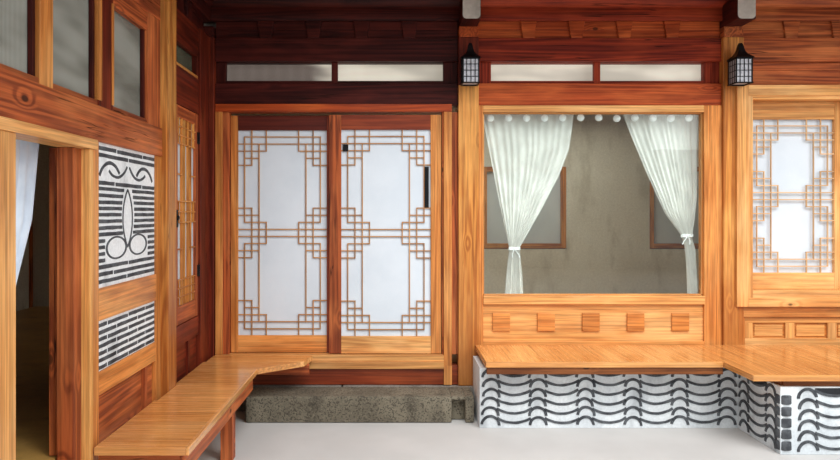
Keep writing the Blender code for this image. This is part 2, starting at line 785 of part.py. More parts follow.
DOOR_OUTER_X = (FRONT_SPANS[0][0] + 0.0042, FRONT_SPANS[0][1] - 0.0492)
LEFT_CASING = 0.058
RIGHT_CASING = 0.066
DOOR_SILL_Z = (0.335, 0.392, 0.444)
DOOR_SILL_OUT = (0.035, 0.022)
DOOR_HEAD_Z = 2.406
DOOR_DEPTH = (-0.12, 0.012)
LINER_LEFT = 0.048
LINER_RIGHT = 0.0135
LINER_OUT = (-0.105, -0.008)
LEAF_TOP_Z = 2.385
FRONT_TRACK = (-0.050, -0.014)
BACK_TRACK = (-0.0915, -0.0555)
LEFT_STILES = (0.0575, 0.095)
RIGHT_STILES = (0.097, 0.0855)
LEAF_MEET = 0.1205         # between the two leaves' openings
TOP_RAIL = 0.121
BOTTOM_RAIL = 0.1395
ROLLER = 0.009
LEAF_BOTTOM_Z = DOOR_SILL_Z[2] + RUN
LEFT_LEAF_X = DOOR_OUTER_X[0] + LEFT_CASING + LINER_LEFT + RUN
RIGHT_LEAF_END = DOOR_OUTER_X[1] - RIGHT_CASING - LINER_RIGHT - RUN
LEAF_OPENING = (RIGHT_LEAF_END - LEFT_LEAF_X - LEFT_STILES[0] - RIGHT_STILES[1] - LEAF_MEET) / 2
RIGHT_LEAF_X = RIGHT_LEAF_END - RIGHT_STILES[1] - LEAF_OPENING - RIGHT_STILES[0]
JAMB_SILL = 0.02           # sill beam's top above the other sills


def door_frame():
    """Sill and jambs of the door bay; the right casing runs down to the stone."""
    left, right = DOOR_OUTER_X
    span = FRONT_SPANS[0]
    bm = bmesh.new()
    side_box(bm, "front", span, (DOOR_DEPTH[0] - 0.01, 0.0),
             (BASE_TOP + GAP, SILL_TOP + JAMB_SILL))
    stop = right - RIGHT_CASING - GAP
    side_box(bm, "front", (left, stop), (DOOR_DEPTH[0], DOOR_SILL_OUT[0]),
             (DOOR_SILL_Z[0], DOOR_SILL_Z[1]))
    side_box(bm, "front", (left + GAP, stop - GAP), (DOOR_DEPTH[0] + GAP, DOOR_SILL_OUT[1]),
             (DOOR_SILL_Z[1] - OVERLAP, DOOR_SILL_Z[2]))
    fuse(bm, "door_sill", "frame")
    z = (DOOR_SILL_Z[2] + GAP, DOOR_HEAD_Z - GAP)
    bm = bmesh.new()
    side_box(bm, "front", (left, left + LEFT_CASING), DOOR_DEPTH, z)
    side_box(bm, "front", (left + OVERLAP, left + LEFT_CASING + LINER_LEFT), LINER_OUT,
             (z[0] + GAP, z[1] - GAP))
    fuse(bm, "door_left_jamb", "frame")
    bm = bmesh.new()
    low = SILL_TOP + JAMB_SILL + GAP
    side_box(bm, "front", (right - RIGHT_CASING, right), DOOR_DEPTH, (low, z[1]))
    side_box(bm, "front", (right - RIGHT_CASING - LINER_RIGHT, span[1]), LINER_OUT,
             (z[0] + GAP, z[1] - GAP))
    side_box(bm, "front", (right - RIGHT_CASING + GAP, right - GAP),
             (GAP, DOOR_DEPTH[1] - GAP), (BASE_TOP + GAP, low + OVERLAP))
    fuse(bm, "door_right_jamb", "frame")


def sliding_leaf(which, left_edge, stiles, track, parent):
    """Leaf on two rollers, and its paper."""
    along = (left_edge, left_edge + stiles[0] + LEAF_OPENING + stiles[1])
    bm = bmesh.new()
    inner, field = add_frame(bm, "front", along, track, (LEAF_BOTTOM_Z, LEAF_TOP_Z),
                             stiles, TOP_RAIL, BOTTOM_RAIL)
    middle = -(track[0] + track[1]) / 2
    for x in (along[0] + 0.12, along[1] - 0.12):
        add_box(bm, around(x, 2 * ROLLER), around(middle, 0.008),
                (DOOR_SILL_Z[2] + GAP, LEAF_BOTTOM_Z + OVERLAP))
    fuse(bm, which + "_leaf", "frame", parent)
    paper_sheet(which + "_leaf_paper", "front", inner, field, track[1] - PAPER_BACK, parent)


def paper_sheet(name, side, inner, field, out, parent=None):
    """A sheet of paper in an opening, its front at out."""
    bm = bmesh.new()
    side_box(bm, side, (inner[0] + GAP, inner[1] - GAP), (out - PAPER_THICK, out),
             (field[0] + GAP, field[1] - GAP))
    finish(bm, name, "paper", parent)


PULL_BACK = (0.0145, 0.0525)     # in from the edge of the leaf's opening
PULL_Z = (1.63, 1.965)
PULL_THICK = 0.016


def sliding_door():
    y = -sum(FRONT_TRACK) / 2
    left = pivot_empty("left_leaf_axis", LEFT_LEAF_X, y, LEAF_BOTTOM_Z)
    right = pivot_empty("right_leaf_axis", RIGHT_LEAF_X, y, LEAF_BOTTOM_Z)
    sliding_leaf("left", LEFT_LEAF_X, LEFT_STILES, BACK_TRACK, left)
    sliding_leaf("right", RIGHT_LEAF_X, RIGHT_STILES, FRONT_TRACK, right)
    edge = RIGHT_LEAF_END - RIGHT_STILES[1]
    paper_face = FRONT_TRACK[1] - PAPER_BACK
    bm = bmesh.new()
    side_box(bm, "front", (edge - PULL_BACK[1], edge - PULL_BACK[0]),
             (paper_face + GAP, paper_face + PULL_THICK), PULL_Z)
    finish(bm, "door_pull", "iron", right)


# Picture window of the centre bay

WINDOW_GLASS_X = (FRONT_SPANS[1][0] + 0.0372, FRONT_SPANS[1][1] - 0.1422)
WINDOW_GLASS_Z = (0.920, 2.403)
WINDOW_OUT = (-0.10, 0.008)
PANEL_Z = (0.553, 0.852)
PANEL_FACE = -0.012
SQUARE = 0.14
SQUARE_PITCH = (WINDOW_GLASS_X[1] - WINDOW_GLASS_X[0]) / 4.93
SQUARE_Z = (0.634, 0.779)
ROD_Z = 2.425
ROD_OUT = -0.155
ROD_RADIUS = 0.008
PLAIN_Z = (SILL_TOP + GAP, 0.453)


def picture_window():
    """Frame, one sheet of glass and the panel below with five raised squares."""
    bm = bmesh.new()
    left, right = FRONT_SPANS[1]
    top = LINTEL[0] - GAP
    glass_x = WINDOW_GLASS_X
    side_box(bm, "front", (left, glass_x[0]), WINDOW_OUT, (PLAIN_Z[0], top))
    side_box(bm, "front", (glass_x[1], right), WINDOW_OUT, (PLAIN_Z[0], top))
    reach = (glass_x[0] - OVERLAP, glass_x[1] + OVERLAP)
    flush = (WINDOW_OUT[0] + 0.001, WINDOW_OUT[1] - 0.001)
    side_box(bm, "front", reach, flush, (WINDOW_GLASS_Z[1], top - GAP))
    side_box(bm, "front", reach, (-0.09, 0.022), (PANEL_Z[1], WINDOW_GLASS_Z[0]))
    side_box(bm, "front", reach, flush, (PLAIN_Z[0] + GAP, PANEL_Z[0]))
    side_box(bm, "front", reach, (-0.08, PANEL_FACE), (PANEL_Z[0] - OVERLAP, PANEL_Z[1] + OVERLAP))
    middle = (glass_x[0] + glass_x[1]) / 2 - 0.02
    for number in range(-2, 3):
        side_box(bm, "front", around(middle + number * SQUARE_PITCH, SQUARE),
                 (PANEL_FACE - OVERLAP, 0.004), SQUARE_Z)
    fuse(bm, "picture_window_frame", "frame")
    bm = bmesh.new()
    side_box(bm, "front", (glass_x[0] + GAP, glass_x[1] - GAP), around(-0.045, GLASS_THICK),
             (WINDOW_GLASS_Z[0] + GAP, WINDOW_GLASS_Z[1] - GAP))
    finish(bm, "picture_window_glass", "glass")


# Lattice window of the right bay. Its casing stands in front of the post and the lintel.

SIDE_RAIL_Z = (0.749, 0.836)
SIDE_PANEL_PITCH = 0.34
SIDE_PANEL_SIZE = (0.265, 0.125)
SIDE_PANEL_Z = (0.573, 0.698)
SIDE_BOARD_FACE = -0.03
SIDE_STILE_FACE = -0.012
INNER_X = (FRONT_SPANS[2][0] + 0.0152, FRONT_SPANS[2][1] - 0.2492)
INNER_WIDE = 0.049
INNER_Z = (0.900, 2.540)
INNER_TOP = 0.040
INNER_FOOT = 0.065
INNER_OUT = 0.048
SIDE_CASING = 0.083
SIDE_CASING_Z = (0.838, 2.613)
SIDE_CASING_OUT = (0.0328, 0.058)
SASH_MEET = 0.015
SASH_MEET_STILE = 0.094
SASH_END_STILE = 0.040
SASH_RAILS = (0.146, 0.135)
SASH_BACK = (-0.090, -0.058)
SASH_FRONT = (-0.060, -0.026)


def side_window():
    """Casing with recessed panels below, two lattice sashes and their paper."""
    span = FRONT_SPANS[2]
    opening = (INNER_X[0] + INNER_WIDE, INNER_X[1] - INNER_WIDE)
    top = INNER_Z[1]
    bm = bmesh.new()
    side_box(bm, "front", (span[0], INNER_X[0] + OVERLAP), (-0.10, 0.0), (PLAIN_Z[0], top))
    side_box(bm, "front", (INNER_X[1] - OVERLAP, span[1]), (-0.10, 0.0), (PLAIN_Z[0], top))
    across = (span[0] + GAP, span[1] - GAP)
    side_box(bm, "front", across, (-0.099, -0.001),
             (SIDE_RAIL_Z[1] - OVERLAP, INNER_Z[0] + OVERLAP))
    side_box(bm, "front", across, (-0.098, 0.012), SIDE_RAIL_Z)
    side_box(bm, "front", across, (-0.08, SIDE_BOARD_FACE),
             (PLAIN_Z[0] + GAP, SIDE_RAIL_Z[0] + OVERLAP))
    face = (SIDE_BOARD_FACE - OVERLAP, SIDE_STILE_FACE)
    side_box(bm, "front", across, face, (SIDE_PANEL_Z[1], SIDE_RAIL_Z[0] + OVERLAP))
    side_box(bm, "front", across, face, (PLAIN_Z[1], SIDE_PANEL_Z[0]))
    stile = SIDE_PANEL_PITCH - SIDE_PANEL_SIZE[0]
    count = int((span[1] - span[0]) / SIDE_PANEL_PITCH) + 1
    for number in range(count):
        x = span[0] + 0.02 + number * SIDE_PANEL_PITCH
        side_box(bm, "front", (x, min(x + stile, across[1])), (face[0], face[1] - 0.0005),
                 (SIDE_PANEL_Z[0] - OVERLAP, SIDE_PANEL_Z[1] + OVERLAP))
    add_frame(bm, "front", INNER_X, (-0.097, INNER_OUT), INNER_Z, (INNER_WIDE, INNER_WIDE),
              INNER_TOP, INNER_FOOT)
    casing = (INNER_X[0] - SIDE_CASING, INNER_X[1] + SIDE_CASING)
    reach = SIDE_CASING + OVERLAP
    add_frame(bm, "front", casing, SIDE_CASING_OUT, SIDE_CASING_Z, (reach, reach),
              SIDE_CASING_Z[1] - top + OVERLAP, INNER_Z[0] - SIDE_CASING_Z[0] + OVERLAP)
    side_box(bm, "front", (INNER_X[0], INNER_X[1]), (GAP, SIDE_CASING_OUT[0] + OVERLAP),
             (top - OVERLAP, SIDE_CASING_Z[1] - OVERLAP))
    fuse(bm, "side_window_frame", "frame")
    half = (opening[0] + opening[1]) / 2
    sashes = bmesh.new()
    z = (INNER_Z[0] + INNER_FOOT + GAP, top - INNER_TOP - GAP)
    for along, out, stiles in (
            ((opening[0] + GAP, half + SASH_MEET), SASH_BACK, (SASH_END_STILE, SASH_MEET_STILE)),
            ((half - SASH_MEET, opening[1] - GAP), SASH_FRONT, (SASH_MEET_STILE, SASH_END_STILE))):
        add_frame(sashes, "front", along, out, z, stiles, *SASH_RAILS)
    fuse(sashes, "side_window_sashes", "frame")
    paper_sheet("side_window_paper", "front", opening, z, SASH_BACK[0] - GAP)


# Curtains

CURTAIN_THICK = 0.03
# Outlines as (distance in from the pane's edge, drop below the rod)
CURTAIN_LEFT = ((0.013, 0.0), (0.773, 0.0), (0.733, -0.31), (0.648, -0.53), (0.483, -0.84),
                (0.323, -1.13), (0.343, -1.35), (0.355, -1.54), (0.198, -1.54),
                (0.230, -1.13), (0.155, -0.76), (0.013, -0.06))
CURTAIN_RIGHT = ((-0.013, 0.0), (-0.013, -0.70), (0.013, -0.90), (0.034, -1.03), (0.007, -1.14),
                 (-0.013, -1.43), (-0.013, -1.54), (0.062, -1.54), (0.072, -1.27),
                 (0.117, -1.02), (0.250, -0.84), (0.399, -0.52), (0.537, -0.19), (0.612, 0.0))
# The doorway's curtain, as (distance from the doorway's far edge, drop below its top)
DOORWAY_CURTAIN = ((0.004, 0.0), (0.534, 0.0), (0.534, -0.93), (0.300, -0.84),
                   (0.239, -0.739), (0.150, -0.55), (0.075, -0.39))
DOORWAY_CURTAIN_OUT = (-0.200, -0.1653)
DOORWAY_CURTAIN_TOP = 0.045


def curtains():
    """Tied-back curtains on their rod, and the one in the wing's doorway."""
    bm = bmesh.new()
    left, right = FRONT_SPANS[1]
    rod_y = -ROD_OUT
    add_rod(bm, (left - 0.03, rod_y, ROD_Z), (right + 0.03, rod_y, ROD_Z), ROD_RADIUS)
    stand = Matrix.Rotation(math.radians(90), 4, "X")
    first = [(WINDOW_GLASS_X[0] + inward, ROD_Z + drop) for inward, drop in CURTAIN_LEFT]
    second = [(WINDOW_GLASS_X[1] - inward, ROD_Z + drop) for inward, drop in CURTAIN_RIGHT]
    for outline in (first, second):
        shift = Matrix.Translation((0.0, rod_y, 0.0))
        add_outline(bm, outline, CURTAIN_THICK, shift @ stand)
    for x in (left - 0.018, right + 0.018):
        add_box(bm, around(x, 0.02), (COURT_ROW_Y + POST / 2 + GAP, rod_y + 0.012),
                around(ROD_Z, 0.03))
    fuse(bm, "window_curtains", "cloth")
    bm = bmesh.new()
    top = DOORWAY_Z[1] + DOORWAY_CURTAIN_TOP
    outline = [(-DOORWAY[0] - near, top + drop) for near, drop in DOORWAY_CURTAIN]
    place = CORNER_X + WING_FACE + sum(DOORWAY_CURTAIN_OUT) / 2
    add_outline(bm, outline, DOORWAY_CURTAIN_OUT[1] - DOORWAY_CURTAIN_OUT[0],
                Matrix.Translation((place, 0.0, 0.0)) @ ACROSS)
    finish(bm, "doorway_curtain", "cloth")


# Courtyard wall of the wing, with its hinged side door and its doorway.
# Places along it are distances towards the open end, from the main wall's face.

WING_OUT = (-0.10, 0.0)
WING_CORNER = POST / 2 - COURT_ROW_Y
WING_SPANS = clear_spans([-COURT_ROW_Y, -WING_POST_Y, -WING_END_Y])
SHORT_BAY, LONG_BAY = WING_SPANS
DOORWAY = (LONG_BAY[1] - 0.8012, LONG_BAY[1] - 0.2322)
DOORWAY_Z = (FLOOR_TOP, 1.90)
JAMB_ALONG = (DOORWAY[0] - 0.216, DOORWAY[0] - 0.146)
PANEL_ALONG = (LONG_BAY[0] + 0.0872, JAMB_ALONG[0])
UPPER_PANEL_Z = (1.205, 1.95)
LOWER_PANEL_Z = (0.78, 1.04)
PANEL_FACE_OUT = -0.0103
PANEL_RAIL_OUT = 0.0035
LOW_BOARD_Z = 0.66
WING_BEAM_Z = (1.95, 2.13)
WING_WINDOW_Z = (2.16, 2.70)
WING_PANE_SHARES = ((0.1123, 0.3785), (0.4690, 0.7068), (0.7636, 0.9575))
WING_MULLION_OUT = (-0.043, -0.001)
WING_PANE_OUT = WING_MULLION_OUT[0] - GAP
SIDE_DOOR = (SHORT_BAY[0] + 0.2622, SHORT_BAY[1] - 0.1052)
SIDE_DOOR_Z = (0.81, 2.34)
SIDE_DOOR_OUT = (-0.030, 0.0)
SIDE_STILE = 0.075
HINGE_OUT = 0.006
HINGE_RADIUS = 0.0052
HINGE_ALONG = SIDE_DOOR[0] - RUN
HINGE_JAMB_OUT = 0.013
HINGE_Z = (1.15, 2.16)
SIDE_TRANSOM_Z = (2.62, 2.78)
SIDE_TRANSOM_FRAME = 0.03
WING_LEAF = (DOORWAY[0] - 0.676, DOORWAY[0] - 0.036)
WING_LEAF_OUT = (-0.158, -0.122)
GUIDE_OUT = (-0.165, -0.1003)
LOW_STILE = 0.04


def wing_post():
    """Post between the side door and the long bay, with the door's latch jamb."""
    bm = bmesh.new()
    post(bm, CORNER_X, WING_POST_Y)
    short = WING_SPANS[0]
    side_box(bm, "wing", (SIDE_DOOR[1] + RUN, short[1] + IN_POST), WING_OUT,
             (BASE_TOP + 2 * GAP, HEAD[1] - GAP))
    fuse(bm, "wing_post", "post")


def side_door_bay():
    """Boards below the side door, and beams with the little window above it."""
    start = HINGE_ALONG - HINGE_RADIUS
    stop = SIDE_DOOR[1] + RUN - GAP
    bm = bmesh.new()
    side_box(bm, "wing", (start, stop), (-0.10, -0.02), (BASE_TOP + GAP, SIDE_DOOR_Z[0] - RUN))
    side_box(bm, "wing", (start + GAP, stop - GAP), (-0.099, 0.0),
             (LOW_BOARD_Z, SIDE_DOOR_Z[0] - RUN - GAP))
    low_stile = SIDE_DOOR[0] + 0.205
    side_box(bm, "wing", (low_stile, low_stile + LOW_STILE), (-0.05, -0.002),
             (BASE_TOP + 2 * GAP, LOW_BOARD_Z + OVERLAP))
    side_box(bm, "wing", (start + GAP, stop - GAP), (-0.098, -0.001),
             (BASE_TOP + 2 * GAP, SILL_TOP))
    fuse(bm, "side_door_boards", "post")
    bm = bmesh.new()
    low = SIDE_DOOR_Z[1] + RUN
    side_box(bm, "wing", (start, stop), WING_OUT, (low, SIDE_TRANSOM_Z[0]))
    side_box(bm, "wing", (start, stop), WING_OUT, (SIDE_TRANSOM_Z[1], HEAD[1] - GAP))
    pane = (start + SIDE_TRANSOM_FRAME, stop - SIDE_TRANSOM_FRAME)
    for edge in ((start + GAP, pane[0]), (pane[1], stop - GAP)):
        side_box(bm, "wing", edge, (-0.099, -0.001), (low + GAP, HEAD[1] - 2 * GAP))
    fuse(bm, "side_door_head", "post")
    bm = bmesh.new()
    side_box(bm, "wing", (pane[0] + GAP, pane[1] - GAP),
             (WING_PANE_OUT - GLASS_THICK, WING_PANE_OUT),
             (SIDE_TRANSOM_Z[0] + GAP, SIDE_TRANSOM_Z[1] - GAP))
    finish(bm, "side_transom_glass", "glass")


def wing_window_row():
    """Beam over the doorway, window mullions and head beam of the long bay."""
    bm = bmesh.new()
    span = WING_SPANS[1]
    high = HEAD[0] + OVERLAP
    side_box(bm, "wing", span, (-0.10, 0.012), WING_BEAM_Z)
    side_box(bm, "wing", span, WING_OUT, (HEAD[0], HEAD[1] - GAP))
    wide = span[1] - span[0]
    panes = [span[0] + share * wide for pane in WING_PANE_SHARES for share in pane]
    edges = [span[0] + GAP] + panes + [span[1] - GAP]
    for start, stop in zip(edges[0::2], edges[1::2]):
        side_box(bm, "wing", (start, stop), WING_MULLION_OUT, (WING_BEAM_Z[1] - OVERLAP, high))
    inner = (span[0] + 2 * GAP, span[1] - 2 * GAP)
    rail_out = (WING_MULLION_OUT[0] + GAP, WING_MULLION_OUT[1] - 0.007)
    side_box(bm, "wing", inner, rail_out, (WING_BEAM_Z[1] - OVERLAP, WING_WINDOW_Z[0]))
    side_box(bm, "wing", inner, rail_out, (WING_WINDOW_Z[1], high))
    fuse(bm, "wing_window_row", "post")


def wing_panels():
    """Rails and boards around the masonry, the doorway's far jamb, and the masonry."""
    bm = bmesh.new()
    span = WING_SPANS[1]
    top = WING_BEAM_Z[0] - GAP
    foot = BASE_TOP + GAP
    side_box(bm, "wing", (span[0], PANEL_ALONG[0]), WING_OUT, (foot, top))
    side_box(bm, "wing", JAMB_ALONG, (-0.10, 0.004), (foot, top))
    side_box(bm, "wing", (JAMB_ALONG[1] - OVERLAP, DOORWAY[0]), (-0.105, 0.022),
             (foot + GAP, DOORWAY_Z[1] - GAP))
    reach = (PANEL_ALONG[0] - OVERLAP, PANEL_ALONG[1] + OVERLAP)
    side_box(bm, "wing", reach, (PANEL_FACE_OUT + GAP, PANEL_RAIL_OUT),
             (LOWER_PANEL_Z[1], UPPER_PANEL_Z[0]))
    side_box(bm, "wing", reach, (-0.099, -0.001), (LOW_BOARD_Z, LOWER_PANEL_Z[0]))
    side_box(bm, "wing", reach, (-0.098, -0.025), (foot + GAP, LOW_BOARD_Z + OVERLAP))
    low_stile = PANEL_ALONG[0] + 0.14
    side_box(bm, "wing", (low_stile, low_stile + LOW_STILE), (-0.05, -0.002),
             (foot + GAP, LOW_BOARD_Z + OVERLAP))
    side_box(bm, "wing", reach, (-0.097, -0.002), (foot + 2 * GAP, SILL_TOP))
    fuse(bm, "wing_panel_frame", "post")
    bm = bmesh.new()
    inner = (PANEL_ALONG[0] + GAP, PANEL_ALONG[1] - GAP)
    side_box(bm, "wing", inner, (-0.055, PANEL_FACE_OUT), (LOWER_PANEL_Z[0] + GAP, top))
    finish(bm, "wing_masonry_panel", "masonry")


def wing_doorway():
    """Near jamb with the end post, lintel with the leaf's guide, and threshold."""
    end = WING_SPANS[1][1]
    bm = bmesh.new()
    post(bm, CORNER_X, WING_END_Y)
    side_box(bm, "wing", (DOORWAY[1], end + IN_POST), (-0.105, 0.022),
             (BASE_TOP + 2 * GAP, DOORWAY_Z[1] - GAP))
    fuse(bm, "doorway_near_jamb", "frame")
    bm = bmesh.new()
    side_box(bm, "wing", (JAMB_ALONG[1] + GAP, end), (-0.105, 0.030),
             (DOORWAY_Z[1], WING_BEAM_Z[0] - GAP))
    side_box(bm, "wing", (WING_LEAF[0] - 0.1, end - GAP), GUIDE_OUT,
             (DOORWAY_Z[1] + 0.012, WING_BEAM_Z[0] - 2 * GAP))
    fuse(bm, "doorway_lintel", "frame")
    bm = bmesh.new()
    side_box(bm, "wing", (DOORWAY[0] + GAP, DOORWAY[1] - GAP), WING_OUT,
             (BASE_TOP + GAP, DOORWAY_Z[0]))
    finish(bm, "doorway_threshold", "frame")


def wing_glass():
    """One sheet of ribbed glass against the back of the wing's window mullions."""
    bm = bmesh.new()
    side_box(bm, "wing", LONG_BAY, (WING_PANE_OUT - GLASS_THICK, WING_PANE_OUT),
             (WING_BEAM_Z[1] + GAP, HEAD[0] - GAP))
    finish(bm, "wing_glass", "glass")


def wing_leaf():
    """Sliding leaf of the doorway, on rollers, pushed back behind the panels."""
    x = CORNER_X + WING_FACE + sum(WING_LEAF_OUT) / 2
    parent = pivot_empty("wing_leaf_axis", x, -WING_LEAF[0], FLOOR_TOP)
    bm = bmesh.new()
    z = (FLOOR_TOP + RUN, DOORWAY_Z[1])
    inner, field = add_frame(bm, "wing", WING_LEAF, WING_LEAF_OUT, z, (0.09, 0.09), 0.11, 0.20)
    middle = sum(WING_LEAF_OUT) / 2
    side_box(bm, "wing", (inner[0] - OVERLAP, inner[1] + OVERLAP), around(middle, 0.014),
             (field[0] - OVERLAP, field[1] + OVERLAP))
    for along in (WING_LEAF[0] + 0.1, WING_LEAF[1] - 0.1):
        side_box(bm, "wing", around(along, 2 * ROLLER), around(middle, 0.008),
                 (FLOOR_TOP + GAP, z[0] + OVERLAP))
    fuse(bm, "wing_leaf", "post", parent)


def side_door():
    """Hinged lattice door in the short bay, with its hinge barrels."""
    x = CORNER_X + WING_FACE + HINGE_OUT
    pivot = pivot_empty("side_door_axis", x, -HINGE_ALONG, SIDE_DOOR_Z[0])
    bm = bmesh.new()
    inner, field = add_frame(bm, "wing", SIDE_DOOR, SIDE_DOOR_OUT, SIDE_DOOR_Z,
                             (SIDE_STILE, SIDE_STILE), 0.085, 0.13)
    for z in HINGE_Z:
        add_rod(bm, (x, -HINGE_ALONG, z - 0.045), (x, -HINGE_ALONG, z + 0.045),
                HINGE_RADIUS, 12)
        side_box(bm, "wing", (HINGE_ALONG + 0.001, SIDE_DOOR[0] + 0.035),
                 (-0.004, 0.0035), (z - 0.044, z + 0.044))
    fuse(bm, "side_door_leaf", "post", pivot)
    paper_sheet("side_door_paper", "wing", inner, field, SIDE_DOOR_OUT[1] - PAPER_BACK, pivot)


# Benches and the tile-patterned walls under them

LEFT_BENCH_TOP = DOOR_SILL_Z[2]
FRONT_BENCH_TOP = 0.529
BOARD = 0.04
LEFT_BENCH_X = -0.996
LEFT_BENCH_END = DOORWAY[0] - 0.096
LEFT_BENCH_TIP_X = -0.648
CENTRE_BENCH_OUT = 0.66
RIGHT_BENCH_OUT = 1.056
BENCH_STEP_X = POST_B_X - 0.387
CENTRE_WALL_OUT = 0.47
RIGHT_WALL_OUT = 1.02
RIGHT_WALL_X = POST_B_X - 0.19
TILE_WALL_TOP = 0.445
APRON = 0.025
APRON_TALL = 0.11
LEG = 0.08


def left_bench():
    """Planks along the wing's wall, cut around the posts, on an apron and two legs."""
    wall = CORNER_X + WING_FACE + 0.031
    post_face = CORNER_X + POST / 2 + GAP
    front = DOOR_SILL_OUT[0] + GAP
    near = -WING_POST_Y + POST / 2 + GAP
    far = -WING_POST_Y - POST / 2 - GAP
    bm = bmesh.new()
    low = LEFT_BENCH_TOP - BOARD
    inset = 0.03
    edge = LEFT_BENCH_X - inset
    z = (low - APRON_TALL, low + OVERLAP)
    add_box(bm, (edge - APRON, edge), (-LEFT_BENCH_END + inset, -0.52), z)
    add_box(bm, (wall + 0.01, edge - APRON / 2),
            (-LEFT_BENCH_END + inset, -LEFT_BENCH_END + inset + APRON),
            (z[0] + GAP, z[1] - GAP))
    for along in (LEFT_BENCH_END - 0.12, 1.10):
        add_box(bm, (edge - LEG, edge - 0.001), around(-along, LEG), (GAP, z[1] - 2 * GAP))
    outline = [
        (wall, -LEFT_BENCH_END), (LEFT_BENCH_X, -LEFT_BENCH_END), (LEFT_BENCH_X, -0.50),
        (LEFT_BENCH_TIP_X - 0.03, -0.20), (LEFT_BENCH_TIP_X, -front), (post_face, -front),
        (wall, -front), (wall, -far), (post_face, -far), (post_face, -near), (wall, -near)]
    flat_plate(bm, outline, low, LEFT_BENCH_TOP)
    fuse(bm, "left_bench", "bench")


def front_bench():
    """The centre and right planks at one height, the right one deeper, with aprons."""
    bm = bmesh.new()
    back = 0.024
    left = POST_A_X + POST / 2 + GAP
    lip = POST / 2 - COURT_ROW_Y + GAP
    low = FRONT_BENCH_TOP - BOARD
    end = END_X - POST / 2 - GAP
    near = POST_B_X - POST / 2 - GAP
    past = POST_B_X + POST / 2 + GAP
    foot = TILE_WALL_TOP + GAP
    centre_front = -CENTRE_WALL_OUT + 0.03
    right_front = -RIGHT_WALL_OUT + 0.03
    start = POST_A_X + 0.053
    add_box(bm, (start + 0.04, RIGHT_WALL_X + 0.04), around(centre_front, APRON),
            (foot, low + OVERLAP))
    add_box(bm, around(RIGHT_WALL_X + 0.03, APRON), (right_front, centre_front),
            (foot + GAP, low + OVERLAP - GAP))
    add_box(bm, (RIGHT_WALL_X + 0.03, end - 0.01), around(right_front, APRON),
            (foot, low + OVERLAP))
    outline = [(left, -back), (left, -lip), (start, -lip), (start, -CENTRE_BENCH_OUT),
               (BENCH_STEP_X, -CENTRE_BENCH_OUT), (BENCH_STEP_X, -RIGHT_BENCH_OUT),
               (end, -RIGHT_BENCH_OUT), (end, -back), (past, -back), (past, -lip),
               (near, -lip), (near, -back)]
    flat_plate(bm, outline, low, FRONT_BENCH_TOP)
    fuse(bm, "front_bench", "bench")


def tile_walls():
    """Masonry under the front bench: a shallow part and a deeper one to its right."""
    back = -BASE_FACE - GAP
    z = (0.0, TILE_WALL_TOP)
    boxes("centre_tile_wall", "masonry",
          [((POST_A_X + 0.033, RIGHT_WALL_X - GAP), (-CENTRE_WALL_OUT, back), z)])
    boxes("right_tile_wall", "masonry",
          [((RIGHT_WALL_X, END_X - POST / 2), (-RIGHT_WALL_OUT, back), z)])


# Lanterns

LANTERN_WIDE = 0.145
LANTERN_Z = (2.60, 2.80, 2.93)
LANTERN_OFF = 0.03


def lanterns():
    """Two square lanterns with pyramid roofs on brackets in front of the posts."""
    face = POST / 2 - COURT_ROW_Y
    middle_y = -(face + LANTERN_OFF + LANTERN_WIDE / 2)
    height = LANTERN_Z[2] - LANTERN_Z[1]
    turn = Matrix.Rotation(math.radians(45), 4, "Z")
    for name, x in (("left_lantern", POST_A_X), ("right_lantern", POST_B_X)):
        bm = bmesh.new()
        add_box(bm, around(x, LANTERN_WIDE), around(middle_y, LANTERN_WIDE), LANTERN_Z[:2])
        place = Matrix.Translation((x, middle_y, LANTERN_Z[1] - 0.005 + height / 2))
        bmesh.ops.create_cone(bm, cap_ends=True, segments=4, radius1=0.12, radius2=0.018,
                              depth=height, matrix=place @ turn)
        add_box(bm, around(x, 0.05), (-(face + LANTERN_OFF + OVERLAP), -(face + GAP)),
                (LANTERN_Z[0] + 0.06, LANTERN_Z[1] - 0.02))
        fuse(bm, name, "iron")


# Back, end and outer walls: a plaster slab with window holes, and a timber frame
# with lattice windows on its face. Each wall has its post lines and, for every space
# between them, a w for a window or a dash for none.

OUTER_RAIL_Z = (1.02, 1.14)
PLASTER_OUT = (-0.10, -0.0303)
FACE_TIMBER = (-0.03, 0.0)
FACE_POST = (-0.029, 0.0325)
WINDOW = (0.95, 0.92)
CASING = 0.06
WINDOW_PAPER_OUT = -0.026
OUTER_TOP = BEAM_Z[0] - GAP
OUTER_SIDES = (
    ("back", "main_back_wall", (WING_X, MID_BACK_X) + MAIN_LINES, "-wwww"),
    ("end", "main_end_wall", (COURT_ROW_Y, RIDGE_Y, BACK_ROW_Y), "-w"),
    ("wing_outer", "wing_outer_wall",
     (WING_END_Y, WING_POST_Y, COURT_ROW_Y, RIDGE_Y, BACK_ROW_Y), "w-ww"),
    ("wing_end", "wing_end_wall", (WING_X, MID_BACK_X, CORNER_X), "ww"),
)
GABLE_SIDES = ("end", "wing_end")


def window_places(lines, lit):
    """Middles of the windows of a wall, and their casings' outer edges."""
    spans = clear_spans(lines)
    z = (OUTER_RAIL_Z[1] - OVERLAP, OUTER_RAIL_Z[1] + WINDOW[1] + 2 * CASING)
    places = []
    for space, mark in zip(spans, lit):
        if mark == "w":
            places.append((around(sum(space) / 2, WINDOW[0] + 2 * CASING), z))
    return places


